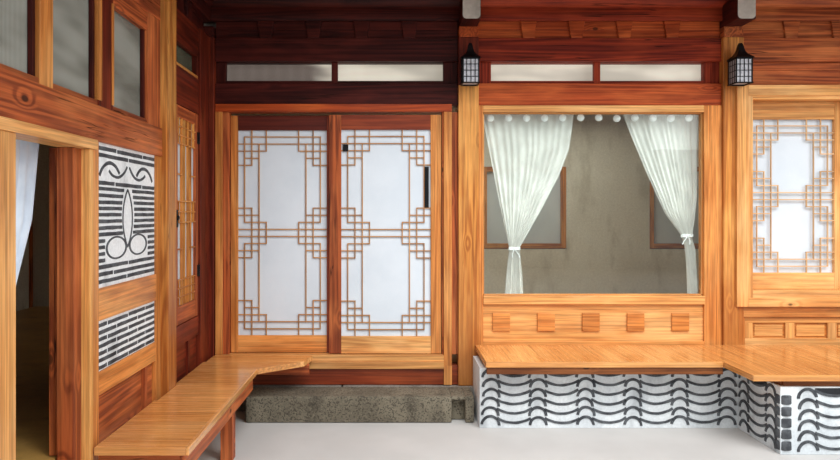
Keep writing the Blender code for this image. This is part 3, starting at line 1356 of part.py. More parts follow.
def outer_wall(side, name, lines, lit):
    """One plaster slab between corner posts; gable ends run up under the rafters."""
    ordered = sorted(lines)
    low = ordered[0] + POST / 2 + GAP
    high = ordered[-1] - POST / 2 - GAP
    foot = BASE_TOP + GAP
    points = [(low, foot), (high, foot), (high, OUTER_TOP)]
    if side in GABLE_SIDES:
        middle = (ordered[0] + ordered[-1]) / 2
        eave = SPAN / 2 - POST / 2 - 0.03
        notch = PURLIN_RADIUS + 0.002
        peak = RIDGE_PURLIN_Z - PURLIN_RADIUS / FLAT - 0.002
        points += [(middle + eave, OUTER_TOP), (middle + eave, rafter_foot(eave) - 0.002),
                   (middle + notch, rafter_foot(notch) - 0.002), (middle + notch, peak),
                   (middle - notch, peak), (middle - notch, rafter_foot(notch) - 0.002),
                   (middle - eave, rafter_foot(eave) - 0.002), (middle - eave, OUTER_TOP)]
    points.append((low, OUTER_TOP))
    axis, face, sign = SIDES[side]
    thick = PLASTER_OUT[1] - PLASTER_OUT[0]
    place = face + sign * sum(PLASTER_OUT) / 2
    bm = bmesh.new()
    stand = Matrix.Rotation(math.radians(90), 4, "X")
    if axis == "x":
        matrix = Matrix.Translation((0.0, place, 0.0)) @ stand
    else:
        matrix = Matrix.Translation((place, 0.0, 0.0)) @ ACROSS
    add_outline(bm, points, thick, matrix)
    node = finish(bm, name, "plaster")
    holes = []
    for along, z in window_places(lines, lit):
        reach = (along[0] - GAP, along[1] + GAP)
        holes.append(on_side(side, reach, (-0.2, 0.1), (z[0] - GAP, z[1] + GAP)))
    cut_holes(node, holes)


def outer_timbers():
    """Posts, rails and lattice windows of all the walls away from the courtyard."""
    bm = bmesh.new()
    for x, y in ((WING_X, BACK_ROW_Y), (END_X, BACK_ROW_Y), (WING_X, WING_END_Y)):
        post(bm, x, y, OUTER_TOP)
    for side, name, lines, lit in OUTER_SIDES:
        ordered = sorted(lines)
        low = ordered[0]
        high = ordered[-1]
        if side == "end":
            low += POST / 2 + GAP
        if side == "wing_end":
            high -= POST / 2 + GAP
        for z in ((BASE_TOP + 2 * GAP, SILL_TOP), OUTER_RAIL_Z, LINTEL,
                  (HEAD[0], OUTER_TOP - GAP)):
            side_box(bm, side, (low, high), FACE_TIMBER, z)
        for along in ordered[1:-1]:
            side_box(bm, side, around(along, POST), FACE_POST, (BASE_TOP + 3 * GAP, OUTER_TOP))
        for along, z in window_places(lines, lit):
            hole, field = add_frame(bm, side, along, (-0.09, 0.010), z, (CASING, CASING),
                                    CASING, CASING + OVERLAP)
            side_box(bm, side, (hole[0] - OVERLAP, hole[1] + OVERLAP),
                     (WINDOW_PAPER_OUT - PAPER_THICK, WINDOW_PAPER_OUT),
                     (field[0] - OVERLAP, field[1] + OVERLAP))
    fuse(bm, "outer_timber_frame", "beam")


# The house, from the ground up

stone_base()
heated_floors()
corner_post()
main_court_frame()
door_bay_beams()
transom_glass()
bearing_blocks()
roof_frame(False, "main_roof_frame")
roof_frame(True, "wing_roof_frame")
rafters(False, "main_rafters")
rafters(True, "wing_rafters")
roof(False, "main_roof")
roof(True, "wing_roof")
roof_ridges()
door_frame()
sliding_door()
picture_window()
side_window()
curtains()
wing_post()
side_door_bay()
wing_window_row()
wing_panels()
wing_doorway()
wing_glass()
wing_leaf()
side_door()
left_bench()
front_bench()
tile_walls()
lanterns()
for outer in OUTER_SIDES:
    outer_wall(*outer)
outer_timbers()
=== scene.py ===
# %% [markdown]
# # A hanok courtyard corner, dressed
#
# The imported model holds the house's solids. This file gives them their looks: timber
# with grain, lattices, patterned masonry, roof tiles, glass, paper and cloth. It is
# read from top to bottom, one small step at a time.

# %% The frame
import math
import random

import bmesh
import bpy
from mathutils import Matrix, Vector
from mathutils import noise as soft_noise


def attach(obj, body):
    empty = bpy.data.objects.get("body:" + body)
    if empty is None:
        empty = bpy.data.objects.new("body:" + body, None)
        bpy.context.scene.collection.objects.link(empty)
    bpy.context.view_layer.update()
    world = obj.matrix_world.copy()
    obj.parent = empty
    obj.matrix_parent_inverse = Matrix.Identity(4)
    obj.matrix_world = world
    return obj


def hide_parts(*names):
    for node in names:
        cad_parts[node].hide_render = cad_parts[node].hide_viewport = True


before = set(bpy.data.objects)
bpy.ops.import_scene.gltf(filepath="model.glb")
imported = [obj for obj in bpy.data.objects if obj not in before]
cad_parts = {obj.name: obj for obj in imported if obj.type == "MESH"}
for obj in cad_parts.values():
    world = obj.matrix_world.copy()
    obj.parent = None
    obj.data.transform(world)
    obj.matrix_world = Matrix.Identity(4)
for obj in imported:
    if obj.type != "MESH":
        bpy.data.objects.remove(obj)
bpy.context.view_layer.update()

scene = bpy.context.scene

# %% [markdown]
# ## Where things are
#
# The house was drawn on a plan: x runs right along the main range's courtyard wall,
# y away from the courtyard. The model's origin lies under the middle of its roof, so a
# piece is drawn in plan places and moved once, when it is finished. Each wall has its
# own short way of saying where: along it, out of its face, and up.

# %% Plan sizes shared with the solids
PLAN_TO_MODEL = Vector((0.078, -0.20, 0.0))
BAY = 2.13
SPAN = 3.15
POST = 0.165
COURT_ROW_Y = 0.05
BACK_ROW_Y = COURT_ROW_Y + SPAN
CORNER_X = -1.523
POST_LINES = [CORNER_X + BAY * i for i in range(4)]
POST_A_X, POST_B_X, END_X = POST_LINES[1:]
WING_X = CORNER_X - SPAN
WING_POST_Y = -1.05
WING_END_Y = -3.15
RIDGE_X = CORNER_X - SPAN / 2
RIDGE_Y = COURT_ROW_Y + SPAN / 2
BASE_TOP = 0.20
LINTEL = (2.459, 2.637)
HEAD = (2.815, 3.004)
HEAD_BEAM = (HEAD[0], HEAD[1] - 0.0003)
WALLS = {
    "front": ("x", 0.0, -1),
    "back": ("x", BACK_ROW_Y + 0.05, 1),
    "end": ("y", END_X + 0.05, 1),
    "wing": ("d", CORNER_X + 0.033, 1),
    "wing_outer": ("y", WING_X - 0.05, -1),
    "wing_end": ("x", WING_END_Y - 0.05, -1),
}


def on_wall(wall, along, out, z):
    """Ranges along a wall, out of its face and up, as plan ranges."""
    axis, face, sign = WALLS[wall]
    outward = tuple(sorted((face + sign * out[0], face + sign * out[1])))
    if axis == "x":
        return tuple(along), outward, tuple(z)
    if axis == "y":
        return outward, tuple(along), tuple(z)
    return outward, (-along[1], -along[0]), tuple(z)


def around(middle, width):
    return (middle - width / 2, middle + width / 2)


BAYS = [(a + POST / 2, b - POST / 2) for a, b in zip(POST_LINES, POST_LINES[1:])]
print("bays:", [tuple(round(v, 3) for v in bay) for bay in BAYS])

# %% [markdown]
# ## The camera
#
# The photograph was taken from under the courtyard's open sky, looking straight at the
# main range. Its lines meet left of and above the middle of the frame, so the lens is
# shifted by that little, and the verticals stay vertical.

# %% Camera
camera = bpy.data.objects.new("camera", bpy.data.cameras.new("camera"))
scene.collection.objects.link(camera)
camera.location = Vector((0.0, -5.47, 1.587)) + PLAN_TO_MODEL
camera.rotation_euler = (math.radians(90), 0.0, 0.0)
camera.data.lens = 29.0
camera.data.sensor_width = 36.0
camera.data.shift_x = 0.032
camera.data.shift_y = -0.020
camera.data.clip_end = 200.0
scene.camera = camera
print("camera at", tuple(round(v, 3) for v in camera.location))

# %% [markdown]
# ## Nodes by the handful
#
# Materials are node trees. A few helpers keep each tree short to write: one adds a node
# and fills its sockets, the others add the kinds that are used again and again.

# %% Node helpers
FLOAT, VECTOR, COLOR = "NodeSocketFloat", "NodeSocketVector", "NodeSocketColor"


def fill_in(tree, socket, value):
    """Link another socket to this one, or write a number on it."""
    if isinstance(value, bpy.types.NodeSocket):
        tree.links.new(value, socket)
    else:
        socket.default_value = value


def add_node(tree, kind, inputs=None, **settings):
    made = tree.nodes.new("ShaderNode" + kind)
    for key, value in settings.items():
        setattr(made, key, value)
    for key, value in (inputs or {}).items():
        fill_in(tree, made.inputs[key], value)
    return made


def calc(tree, operation, first, second=0.0, third=0.0, clamp=False):
    values = {0: first, 1: second}
    if operation in ("MULTIPLY_ADD", "PINGPONG"):
        values[2] = third
    return add_node(tree, "Math", values, operation=operation, use_clamp=clamp).outputs[0]


def times(tree, first, second):
    return calc(tree, "MULTIPLY", first, second)


def vector_calc(tree, operation, first, second):
    return add_node(tree, "VectorMath", {0: first, 1: second},
                    operation=operation).outputs["Vector"]


def noise(tree, vector, scale=1.0, detail=2.0, rough=0.5, stretch=None):
    """Soft random values; stretch is how fast they change along x, y and z."""
    if stretch:
        vector = vector_calc(tree, "MULTIPLY", vector, stretch)
    return add_node(tree, "TexNoise", {"Vector": vector, "Scale": scale, "Detail": detail,
                                       "Roughness": rough}).outputs[0]


def blend(tree, factor, first, second, kind="MIX"):
    return add_node(tree, "Mix", {0: factor, 6: first, 7: second}, data_type="RGBA",
                    blend_type=kind).outputs[2]


def step(tree, value, low, high):
    """0 below low, 1 above high, smooth in between; low may be above high."""
    return add_node(tree, "MapRange", {"Value": value, "From Min": low, "From Max": high},
                    interpolation_type="SMOOTHSTEP").outputs[0]


def parts_of(tree, vector):
    return add_node(tree, "SeparateXYZ", {0: vector}).outputs


def red_of(tree, colour):
    return add_node(tree, "SeparateColor", {0: colour}).outputs[0]


def darken(tree, colour, amount):
    """Multiply a colour by one number."""
    grey = add_node(tree, "CombineColor", {0: amount, 1: amount, 2: amount}).outputs[0]
    return blend(tree, 1.0, colour, grey, "MULTIPLY")


def rgb(red, green, blue):
    """A colour as read from a screen, 0 to 255, made linear."""
    line = []
    for value in (red, green, blue):
        value /= 255
        line.append(value / 12.92 if value <= 0.04045 else ((value + 0.055) / 1.055) ** 2.4)
    return (*line, 1.0)


def new_group(name, inputs, outputs):
    """An empty shader group; inputs are (name, kind, default)."""
    group = bpy.data.node_groups.new(name, "ShaderNodeTree")
    for label, kind, default in inputs:
        socket = group.interface.new_socket(label, in_out="INPUT", socket_type=kind)
        if default is not None:
            socket.default_value = default
    for label, kind in outputs:
        group.interface.new_socket(label, in_out="OUTPUT", socket_type=kind)
    return group, group.nodes.new("NodeGroupInput").outputs, group.nodes.new("NodeGroupOutput")


def start_material(name, **numbers):
    """A material, its tree and its shader; numbers go on the shader's own sockets, so
    coat_weight is the one called Coat Weight."""
    made = bpy.data.materials.new(name)
    made.use_nodes = True
    shader = made.node_tree.nodes["Principled BSDF"]
    short = {"specular": "Specular IOR Level", "ior": "IOR"}
    for key, value in numbers.items():
        label = short.get(key, key.replace("_", " ").title())
        shader.inputs[label].default_value = value
    return made, made.node_tree, shader


def object_place(tree):
    return add_node(tree, "TexCoord").outputs["Object"]


def finish_surface(tree, shader, colour, height, strength, distance):
    """Link the colour, and a bump made from a height."""
    relief = add_node(tree, "Bump", {"Height": height, "Strength": strength,
                                     "Distance": distance}).outputs[0]
    fill_in(tree, shader.inputs["Base Color"], colour)
    fill_in(tree, shader.inputs["Normal"], relief)


# %% [markdown]
# ## Pine
#
# Pine shows bands of early and late wood that run along the board and bend around
# knots, fine fibres, and long drying checks. A real board is a slice of a cone of
# growth rings; here stretched noise is cut into contour lines, which gives the same
# flame-like loops at a fraction of the work. Each board carries its own coordinates,
# so the grain always follows its length, and three random numbers, so no two are alike.

# %% The grain group
grain_group, given, result = new_group(
    "pine_grain",
    [("Vector", VECTOR, None), ("Board", VECTOR, (0.5, 0.5, 0.5)), ("Pale", COLOR, (1, 1, 1, 1)),
     ("Middle", COLOR, (1, 1, 1, 1)), ("Dark", COLOR, (0, 0, 0, 1)), ("Knots", FLOAT, 0.5),
     ("Checks", FLOAT, 0.5), ("Contrast", FLOAT, 0.7)],
    [("Color", COLOR), ("Height", FLOAT), ("Dullness", FLOAT)])
t = grain_group
place = vector_calc(t, "ADD", given["Vector"],
                    vector_calc(t, "MULTIPLY", given["Board"], (17.0, 31.0, 23.0)))

knot_cells = add_node(t, "TexVoronoi", {
    "Vector": vector_calc(t, "MULTIPLY", place, (2.3, 4.2, 4.2)), "Scale": 1.0})
reach = knot_cells.outputs["Distance"]
kept = calc(t, "GREATER_THAN", red_of(t, knot_cells.outputs["Color"]),
            calc(t, "SUBTRACT", 1.0, given["Knots"]))
near_knot = times(t, step(t, reach, 0.26, 0.02), kept)
knot = times(t, step(t, reach, 0.075, 0.045), kept)

slow = noise(t, place, 1.0, 1.5, 0.45, (0.35, 9.0, 9.0))
field = calc(t, "ADD", slow, times(t, near_knot, 0.16))
rings = step(t, calc(t, "PINGPONG", times(t, field, 9.0), 0.5), 0.10, 0.42)
streak = noise(t, place, 1.0, 2.0, 0.6, (1.3, 62.0, 62.0))
fibre = noise(t, place, 1.0, 2.0, 0.6, (7.0, 330.0, 330.0))
cloud = noise(t, place, 1.0, 3.0, 0.6, (1.3, 4.0, 4.0))
split = noise(t, place, 1.0, 3.0, 0.6, (0.45, 15.0, 15.0))
split = calc(t, "ABSOLUTE", calc(t, "SUBTRACT", split, 0.5))
where = step(t, noise(t, place, stretch=(1.1, 3.0, 3.0)), 0.50, 0.60)
split = times(t, times(t, step(t, split, 0.011, 0.003), where), given["Checks"])

colour = blend(t, times(t, rings, given["Contrast"]), given["Middle"], given["Dark"])
colour = blend(t, times(t, step(t, cloud, 0.42, 0.70), 0.65), colour, given["Pale"])
lift = calc(t, "MULTIPLY_ADD", parts_of(t, given["Board"])[0], 0.24, 0.88)
lift = times(t, lift, calc(t, "MULTIPLY_ADD", fibre, 0.8, 0.60))
lift = times(t, lift, calc(t, "MULTIPLY_ADD", step(t, streak, 0.28, 0.68), 0.42, 0.78))
colour = darken(t, colour, lift)
colour = blend(t, times(t, knot, 0.8), colour, (0.035, 0.012, 0.006, 1.0))
colour = blend(t, times(t, split, 0.85), colour, (0.012, 0.006, 0.004, 1.0))
height = calc(t, "ADD", times(t, rings, -0.25), times(t, fibre, 0.35))
height = calc(t, "SUBTRACT", height, times(t, split, 1.6))
dull = calc(t, "ADD", calc(t, "MULTIPLY_ADD", fibre, 0.24, -0.12), times(t, split, 0.3))
for label, socket in (("Color", colour), ("Height", height), ("Dullness", dull)):
    t.links.new(socket, result.inputs[label])
print("grain group:", len(t.nodes), "nodes")

# %% [markdown]
# ## Timber finishes
#
# One function turns the grain into a finish: oiled honey pine for posts and frames,
# a red-brown stain for the beams, glossy amber for the benches. Some rows are lighter
# and darker copies of one wood, with painted sunlight and painted shade in them. Each row
# of the table names a finish and gives its pale, middle and dark colours, then its
# roughness, its coat of varnish, and how far it shows knots, drying checks and contrast.

# %% Timber materials
def timber(name, colours, rough, coat, knots, checks, contrast, bump=0.25, shine=0.3, worn=0.0):
    """Pine with its grain along each board; worn darkens the foot of a post."""
    made, tree, shader = start_material(name, specular=shine, coat_weight=coat,
                                        coat_roughness=0.15)
    grain = add_node(tree, "Group", node_tree=grain_group)
    for label, stored in (("Vector", "grain"), ("Board", "board")):
        fill_in(tree, grain.inputs[label],
                add_node(tree, "Attribute", attribute_name=stored).outputs["Vector"])
    for label, value in zip(("Pale", "Middle", "Dark", "Knots", "Checks", "Contrast"),
                            (*colours, knots, checks, contrast)):
        grain.inputs[label].default_value = value
    colour = grain.outputs["Color"]
    if worn:
        place = object_place(tree)
        patch = noise(tree, place, 1.0, 3.0, stretch=(9, 9, 1.6))
        height = calc(tree, "ADD", parts_of(tree, place)[2], times(tree, patch, 1.6))
        stain = times(tree, step(tree, height, 2.5, 1.2), worn)
        colour = blend(tree, stain, colour, colours[2])
    finish_surface(tree, shader, colour, grain.outputs["Height"], bump, 0.002)
    fill_in(tree, shader.inputs["Roughness"],
            calc(tree, "ADD", grain.outputs["Dullness"], rough, clamp=True))
    return made


TIMBERS = (
    ("honey_pine", (232, 172, 96), (212, 140, 66), (150, 78, 30),
     (0.42, 0.10, 0.35, 0.6, 0.7), {"worn": 0.55}),
    ("frame_pine", (226, 162, 94), (206, 132, 66), (156, 88, 38),
     (0.40, 0.12, 0.06, 0.15, 0.6), {}),
    ("pale_pine", (234, 184, 122), (216, 156, 90), (178, 112, 58),
     (0.42, 0.12, 0.05, 0.1, 0.55), {}),
    ("lattice_pine", (198, 152, 102), (178, 128, 82), (142, 96, 60),
     (0.5, 0.0, 0.0, 0.0, 0.4), {}),
    ("sunlit_lattice_pine", (226, 190, 148), (208, 168, 124), (176, 132, 90),
     (0.5, 0.0, 0.0, 0.0, 0.4), {}),
    # The beam rows step from dark at the left to bright at the right: partly stain, partly
    # painted shade and painted sunlight.
    ("dark_beam", (92, 36, 28), (66, 24, 20), (36, 12, 12),
     (0.5, 0.0, 0.35, 1.0, 0.7), {"shine": 0.18}),
    ("red_beam", (176, 72, 40), (146, 52, 30), (88, 26, 20),
     (0.5, 0.0, 0.35, 1.0, 0.7), {"shine": 0.18}),
    ("stained_and_shaded_beam", (138, 58, 32), (106, 38, 22), (60, 20, 14),
     (0.48, 0.04, 0.35, 1.0, 0.7), {"shine": 0.2}),
    ("brown_board", (212, 126, 72), (178, 92, 50), (108, 48, 30),
     (0.48, 0.04, 0.55, 0.9, 0.7), {"shine": 0.22}),
    ("red_leaf", (160, 78, 42), (132, 56, 30), (92, 34, 20),
     (0.42, 0.08, 0.0, 0.1, 0.45), {}),
    # A darker copy of the leaf wood: painted shade under the head.
    ("shaded_top_rail", (112, 48, 32), (90, 34, 24), (60, 20, 16),
     (0.45, 0.0, 0.0, 0.1, 0.45), {}),
    ("casing_head", (196, 96, 40), (168, 70, 28), (120, 42, 20),
     (0.42, 0.08, 0.0, 0.1, 0.5), {}),
    ("amber_bench", (230, 172, 106), (212, 146, 80), (174, 104, 50),
     (0.24, 0.55, 0.04, 0.05, 0.3), {"bump": 0.06}),
    ("russet_beam", (206, 104, 52), (174, 76, 36), (112, 40, 20),
     (0.45, 0.05, 0.12, 0.4, 0.6), {"shine": 0.2}),
    # A lighter copy of pale pine: painted sunlight on the wing's jamb.
    ("sunlit_jamb_pine", (246, 196, 124), (234, 170, 96), (204, 132, 66),
     (0.42, 0.1, 0.0, 0.05, 0.45), {}),
    ("apron_pine", (150, 92, 50), (120, 68, 34), (84, 44, 22),
     (0.55, 0.0, 0.25, 0.3, 0.5), {}),
    ("roof_beam", (176, 98, 56), (146, 70, 36), (92, 38, 20),
     (0.55, 0.0, 0.35, 0.6, 0.7), {}),
    ("roof_deck", (190, 132, 82), (164, 104, 60), (116, 66, 34),
     (0.6, 0.0, 0.35, 0.6, 0.7), {}),
)
(HONEY, FRAME, PALE, LATTICE, SUNLIT, DARK_BEAM, RED_BEAM, STAINED_AND_SHADED, BROWN, LEAF_RED, SHADED_RAIL,
 CASING_RED, AMBER, RUSSET, SUNLIT_JAMB, APRON, BEAM, DECK_BOARD) = [
    timber(name, (rgb(*pale), rgb(*middle), rgb(*dark)), *numbers, **more)
    for name, pale, middle, dark, numbers, more in TIMBERS]
print("timber finishes:", len(TIMBERS))

# %% [markdown]
# ## Boards
#
# Every timber is a planed stick with its edges eased by a few strokes. A unit cube is
# stretched to size and bevelled, and each corner remembers where it sits along and
# across the stick. Many boards make one piece. A wall's boards are listed as rows: from
# and to along the wall, out of it, and up, then the eased edge in millimetres and the
# number of the finish.

# %% Board and piece helpers
EASE = 0.0025
dice = random.Random(41)


def begin():
    bm = bmesh.new()
    bm.verts.layers.float_vector.new("grain")
    bm.verts.layers.float_vector.new("board")
    return bm


def everything(part):
    return part.verts[:] + part.edges[:] + part.faces[:]


def take_in(bm, part, mat=None):
    """Add one mesh to another, in one finish if its number is given, and free it."""
    if mat is not None:
        for face in part.faces:
            face.material_index = mat
    mesh = bpy.data.meshes.new("part")
    part.to_mesh(mesh)
    part.free()
    bm.from_mesh(mesh)
    bpy.data.meshes.remove(mesh)


def mark_grain(part, axis, middle):
    """Store the place along and across the stick, and the stick's own random numbers."""
    grain = part.verts.layers.float_vector["grain"]
    board = part.verts.layers.float_vector["board"]
    numbers = (dice.random(), dice.random(), dice.random())
    order = ((0, 1, 2), (1, 0, 2), (2, 0, 1))[axis]
    for vert in part.verts:
        place = vert.co - middle
        vert[grain] = [place[i] for i in order]
        vert[board] = numbers


def soften(part, edges, offset, segments=2):
    bmesh.ops.bevel(part, geom=edges, offset=offset, offset_type="OFFSET", affect="EDGES",
                    segments=segments, profile=0.5, material=-1)


def board(bm, x, y, z, ease=EASE, axis=None, mat=0):
    """A bevelled stick between three (low, high) ranges; its grain runs its long way."""
    size = Vector([abs(r[1] - r[0]) for r in (x, y, z)])
    middle = Vector([(r[0] + r[1]) / 2 for r in (x, y, z)])
    part = begin()
    bmesh.ops.create_cube(part, size=1.0)
    bmesh.ops.scale(part, vec=size, verts=part.verts)
    bmesh.ops.translate(part, vec=middle, verts=part.verts)
    ease = min(ease, min(size) * 0.3)
    if ease > 0.0:
        soften(part, part.edges[:], ease)
    if axis is None:
        axis = max(range(3), key=lambda i: size[i])
    mark_grain(part, axis, middle)
    take_in(bm, part, mat)


def wall_board(bm, wall, along, out, z, **more):
    board(bm, *on_wall(wall, along, out, z), **more)


def wall_rows(bm, wall, rows):
    for a0, a1, out0, out1, z0, z1, ease, mat in rows:
        wall_board(bm, wall, (a0, a1), (out0, out1), (z0, z1), ease=ease / 1000, mat=mat)


def piece(bm, name, finish, body="house", replaces=(), smooth=None):
    """Move a mesh from plan places to the model's, give it one finish or several, and
    make it ride on a body."""
    bmesh.ops.translate(bm, vec=PLAN_TO_MODEL, verts=bm.verts)
    mesh = bpy.data.meshes.new(name)
    bm.to_mesh(mesh)
    bm.free()
    made = bpy.data.objects.new(name, mesh)
    scene.collection.objects.link(made)
    for each in finish if isinstance(finish, list) else [finish]:
        mesh.materials.append(each)
    if smooth is not None:
        mesh.shade_smooth()
        mesh.set_sharp_from_angle(angle=math.radians(smooth))
    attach(made, body)
    if replaces:
        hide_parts(*replaces)
    print(name, len(mesh.polygons), "faces")
    return made


def dress(finish, *nodes):
    """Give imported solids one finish."""
    for name in nodes:
        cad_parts[name].data.materials.clear()
        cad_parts[name].data.materials.append(finish)


# %% [markdown]
# ## Iron
#
# Hammered iron with a thin coat of black paint: nearly black, softly glossy, uneven
# from the hammer, with a little brown where the paint has worn off.

# %% Iron
IRON, tree, shader = start_material("black_iron", metallic=0.6)
place = object_place(tree)
dents = noise(tree, place, 140.0, 3.0)
worn = step(tree, noise(tree, place, 45.0, 4.0, 0.65), 0.60, 0.72)
finish_surface(tree, shader, blend(tree, worn, rgb(24, 25, 28), rgb(62, 44, 34)), dents, 0.35,
               0.002)
fill_in(tree, shader.inputs["Roughness"], calc(tree, "MULTIPLY_ADD", dents, 0.3, 0.28))
print("iron made")

# %% [markdown]
# ## The courtyard posts
#
# Square pine posts, planed and oiled, stand on the stone base one bay apart. They are
# plain sticks, so the whole row is one piece. Their edges are eased a little more than
# the joinery's, as on real posts that people brush past.

# %% Posts
def post(bm, x, y, top=HEAD_BEAM[1], mat=0):
    board(bm, around(x, POST), around(y, POST), (BASE_TOP + 0.0003, top), ease=0.005, mat=mat)


bm = begin()
# Post A above the lantern and the corner post get the stained finish: stain with painted shade
# under the eaves and in the corner.
post(bm, POST_A_X, COURT_ROW_Y, top=2.62)
board(bm, around(POST_A_X, POST), around(COURT_ROW_Y, POST), (2.62, HEAD_BEAM[1]), ease=0.005,
      axis=2, mat=1)
for x, y, mat in ((POST_B_X, COURT_ROW_Y, 0), (END_X, COURT_ROW_Y, 0), (CORNER_X, COURT_ROW_Y, 1),
                  (CORNER_X, WING_POST_Y, 0)):
    post(bm, x, y, mat=mat)
wall_rows(bm, "wing", ((0.0125, 0.284, -0.10, 0.013, 0.2006, 3.0037, 2.5, 1),
                       (0.8675, 0.968, -0.10, 0.0, 0.2006, 3.0037, 2.5, 1)))
piece(bm, "courtyard_posts", [HONEY, STAINED_AND_SHADED],
      replaces=("main_court_frame", "corner_post", "wing_post"))

# %% [markdown]
# ## Beams of the courtyard walls
#
# Each bay has a sill beam, a lintel over its door or window and a head beam, with a low
# ribbed window between the last two. The photograph shows old stained timber over the
# first two bays and brighter boards with big knots over the last, so the beams go by
# bay, each with its own finish. The dark at the left is partly stain and partly painted
# shade, and the bright at the right is partly painted sunlight.

# %% Beams and transom frames
BEAM_OUT = (-0.13, 0.0)
TRANSOM_OUT = (-0.085, -0.035)
GLASS_Z = (2.664, 2.812)


def transom(bm, span, stiles, mat=0):
    """Frame of the low window between lintel and head beam."""
    glass = (span[0] + stiles[0], span[1] - stiles[1])
    z = (LINTEL[1], HEAD[0])
    for stile in ((span[0], glass[0]), around(sum(glass) / 2, 0.05), (glass[1], span[1])):
        wall_board(bm, "front", stile, TRANSOM_OUT, z, mat=mat)
    for rail in ((z[0], GLASS_Z[0]), (GLASS_Z[1], z[1])):
        wall_board(bm, "front", span, (TRANSOM_OUT[0], TRANSOM_OUT[1] - 0.001), rail, mat=mat)


for name, bay, stiles, top_mat, finish, replaced in (
        ("door_bay_timbers", BAYS[0], (0.080, 0.117), 0, DARK_BEAM, ("door_bay_beams",)),
        ("centre_bay_timbers", BAYS[1], (0.107, 0.129), 1, [RUSSET, RED_BEAM], ())):
    bm = begin()
    wall_board(bm, "front", bay, BEAM_OUT, LINTEL, ease=0.004)
    wall_board(bm, "front", bay, BEAM_OUT, HEAD_BEAM, ease=0.004, mat=top_mat)
    transom(bm, bay, stiles, top_mat)
    piece(bm, name, finish, replaces=replaced)

bm = begin()
for out, z in ((BEAM_OUT, (2.541, LINTEL[1])), ((-0.10, -0.035), (LINTEL[1], 2.7485)),
               ((-0.10, -0.036), (2.7495, HEAD[0])), (BEAM_OUT, HEAD_BEAM)):
    wall_board(bm, "front", BAYS[2], out, z, ease=0.004)
piece(bm, "right_bay_boards", BROWN)

bm = begin()
for bay, top in zip(BAYS, (0.355, 0.335, 0.335)):
    wall_board(bm, "front", bay, BEAM_OUT, (0.2006, top), ease=0.004)
piece(bm, "sill_beams", LEAF_RED)

# %% [markdown]
# ## Bearing blocks
#
# Between the head beam and the round eave purlin, small blocks that narrow towards the
# foot carry the load. Each is a board whose lower corners are drawn in. Thin boards
# close the wall behind them.

# %% Bearing blocks
def bearing_block(bm, wall, along, mat=0):
    part = begin()
    wall_board(part, wall, around(along, 0.135), (-0.12, -0.005), (3.0043, 3.1457), ease=0.006,
               axis=0, mat=mat)
    axis, middle = (0, along) if wall == "front" else (1, -along)
    for vert in part.verts:
        low = max(0.0, min(1.0, (3.11 - vert.co.z) / 0.06))
        vert.co[axis] = middle + (vert.co[axis] - middle) * (1.0 - 0.296 * low)
    take_in(bm, part)


bm = begin()
BANDS = ((3.0043, 3.0735, 0.0), (3.0745, 3.1457, 0.004))
# Bands, caps and blocks take their bay's finish, dark at the left to bright at the right: partly
# stain, partly painted shade and painted sunlight.
for number, bay in enumerate(BAYS):
    for low, high, back in BANDS:
        wall_board(bm, "front", bay, (-0.115, -0.026 - back), (low, high), mat=number, ease=0.003)
for low, high, back in BANDS:
    wall_board(bm, "wing", (0.0325, 3.09), (-0.115, -0.030 - back * 0.75), (low, high))
for x, mat in zip(POST_LINES, (0, 1, 2, 2)):
    board(bm, around(x, POST - 0.01), around(COURT_ROW_Y, POST), (3.0043, 3.0897), ease=0.004,
          mat=mat)
for y in (WING_POST_Y, WING_END_Y):
    board(bm, around(CORNER_X, POST), around(y, POST - 0.01), (3.0043, 3.0897), ease=0.004)
for bay, line in enumerate(POST_LINES[:3]):
    for number in range(4):
        bearing_block(bm, "front", line + 0.49 + number * 0.388, bay)
for number in range(4):
    bearing_block(bm, "wing", -WING_POST_Y + 0.49 + number * 0.388)
bearing_block(bm, "wing", 0.49)
piece(bm, "bearing_block_row", [DARK_BEAM, RUSSET, BROWN], replaces=("bearing_blocks",))

# %% [markdown]
# ## The sliding doors' frame
#
# A pine casing stands proud of the wall between its two posts, with a redder head and
# two sill rails, the lower one stepping further out. Liners inside it close the pockets
# where the leaves run. The leaves themselves are drawn after it.

# %% Door frame
DOOR_LEFT, OPEN_LEFT, OPEN_RIGHT, DOOR_RIGHT = -1.436, -1.378, 0.409, 0.475
bm = begin()
wall_rows(bm, "front", (
    (DOOR_LEFT, OPEN_LEFT, -0.12, 0.012, 0.4443, 2.406, 3, 0),
    (OPEN_RIGHT, DOOR_RIGHT, -0.12, 0.012, 0.3553, 2.406, 3, 0),
    (OPEN_RIGHT, DOOR_RIGHT, 0.0003, 0.0117, 0.2006, 0.365, 3, 0),
    (DOOR_LEFT, DOOR_RIGHT, -0.12, 0.012, 2.406, 2.469, 3, 3),
    (DOOR_LEFT, OPEN_RIGHT - 0.0003, -0.12, 0.035, 0.3353, 0.392, 3, 1),
    (DOOR_LEFT, OPEN_RIGHT - 0.0003, -0.12, 0.022, 0.392, 0.444, 3, 1),
    (OPEN_LEFT, OPEN_LEFT + 0.048, -0.105, -0.008, 0.4446, 2.4054, 2.5, 2),
    (OPEN_RIGHT - 0.0135, OPEN_RIGHT, -0.105, -0.008, 0.4446, 2.4054, 2.5, 2),
    (DOOR_RIGHT, BAYS[0][1], -0.105, -0.008, 0.4446, 2.4054, 2.5, 2)))
piece(bm, "door_frame", [FRAME, PALE, BROWN, CASING_RED],
      replaces=("door_sill", "door_left_jamb", "door_right_jamb"))

# %% [markdown]
# ## Lattice leaves
#
# Each leaf is a frame of two stiles and two rails around a sheet of paper, with a
# lattice of thin bars in front. The pattern is drawn on a square grid, one quarter at
# a time: bars step away from the corners and from the middle of each side, and leave a
# large cross-shaped light. Only the bars are listed; mirroring gives the rest.

# %% Lattice pattern
BAR = 0.0085


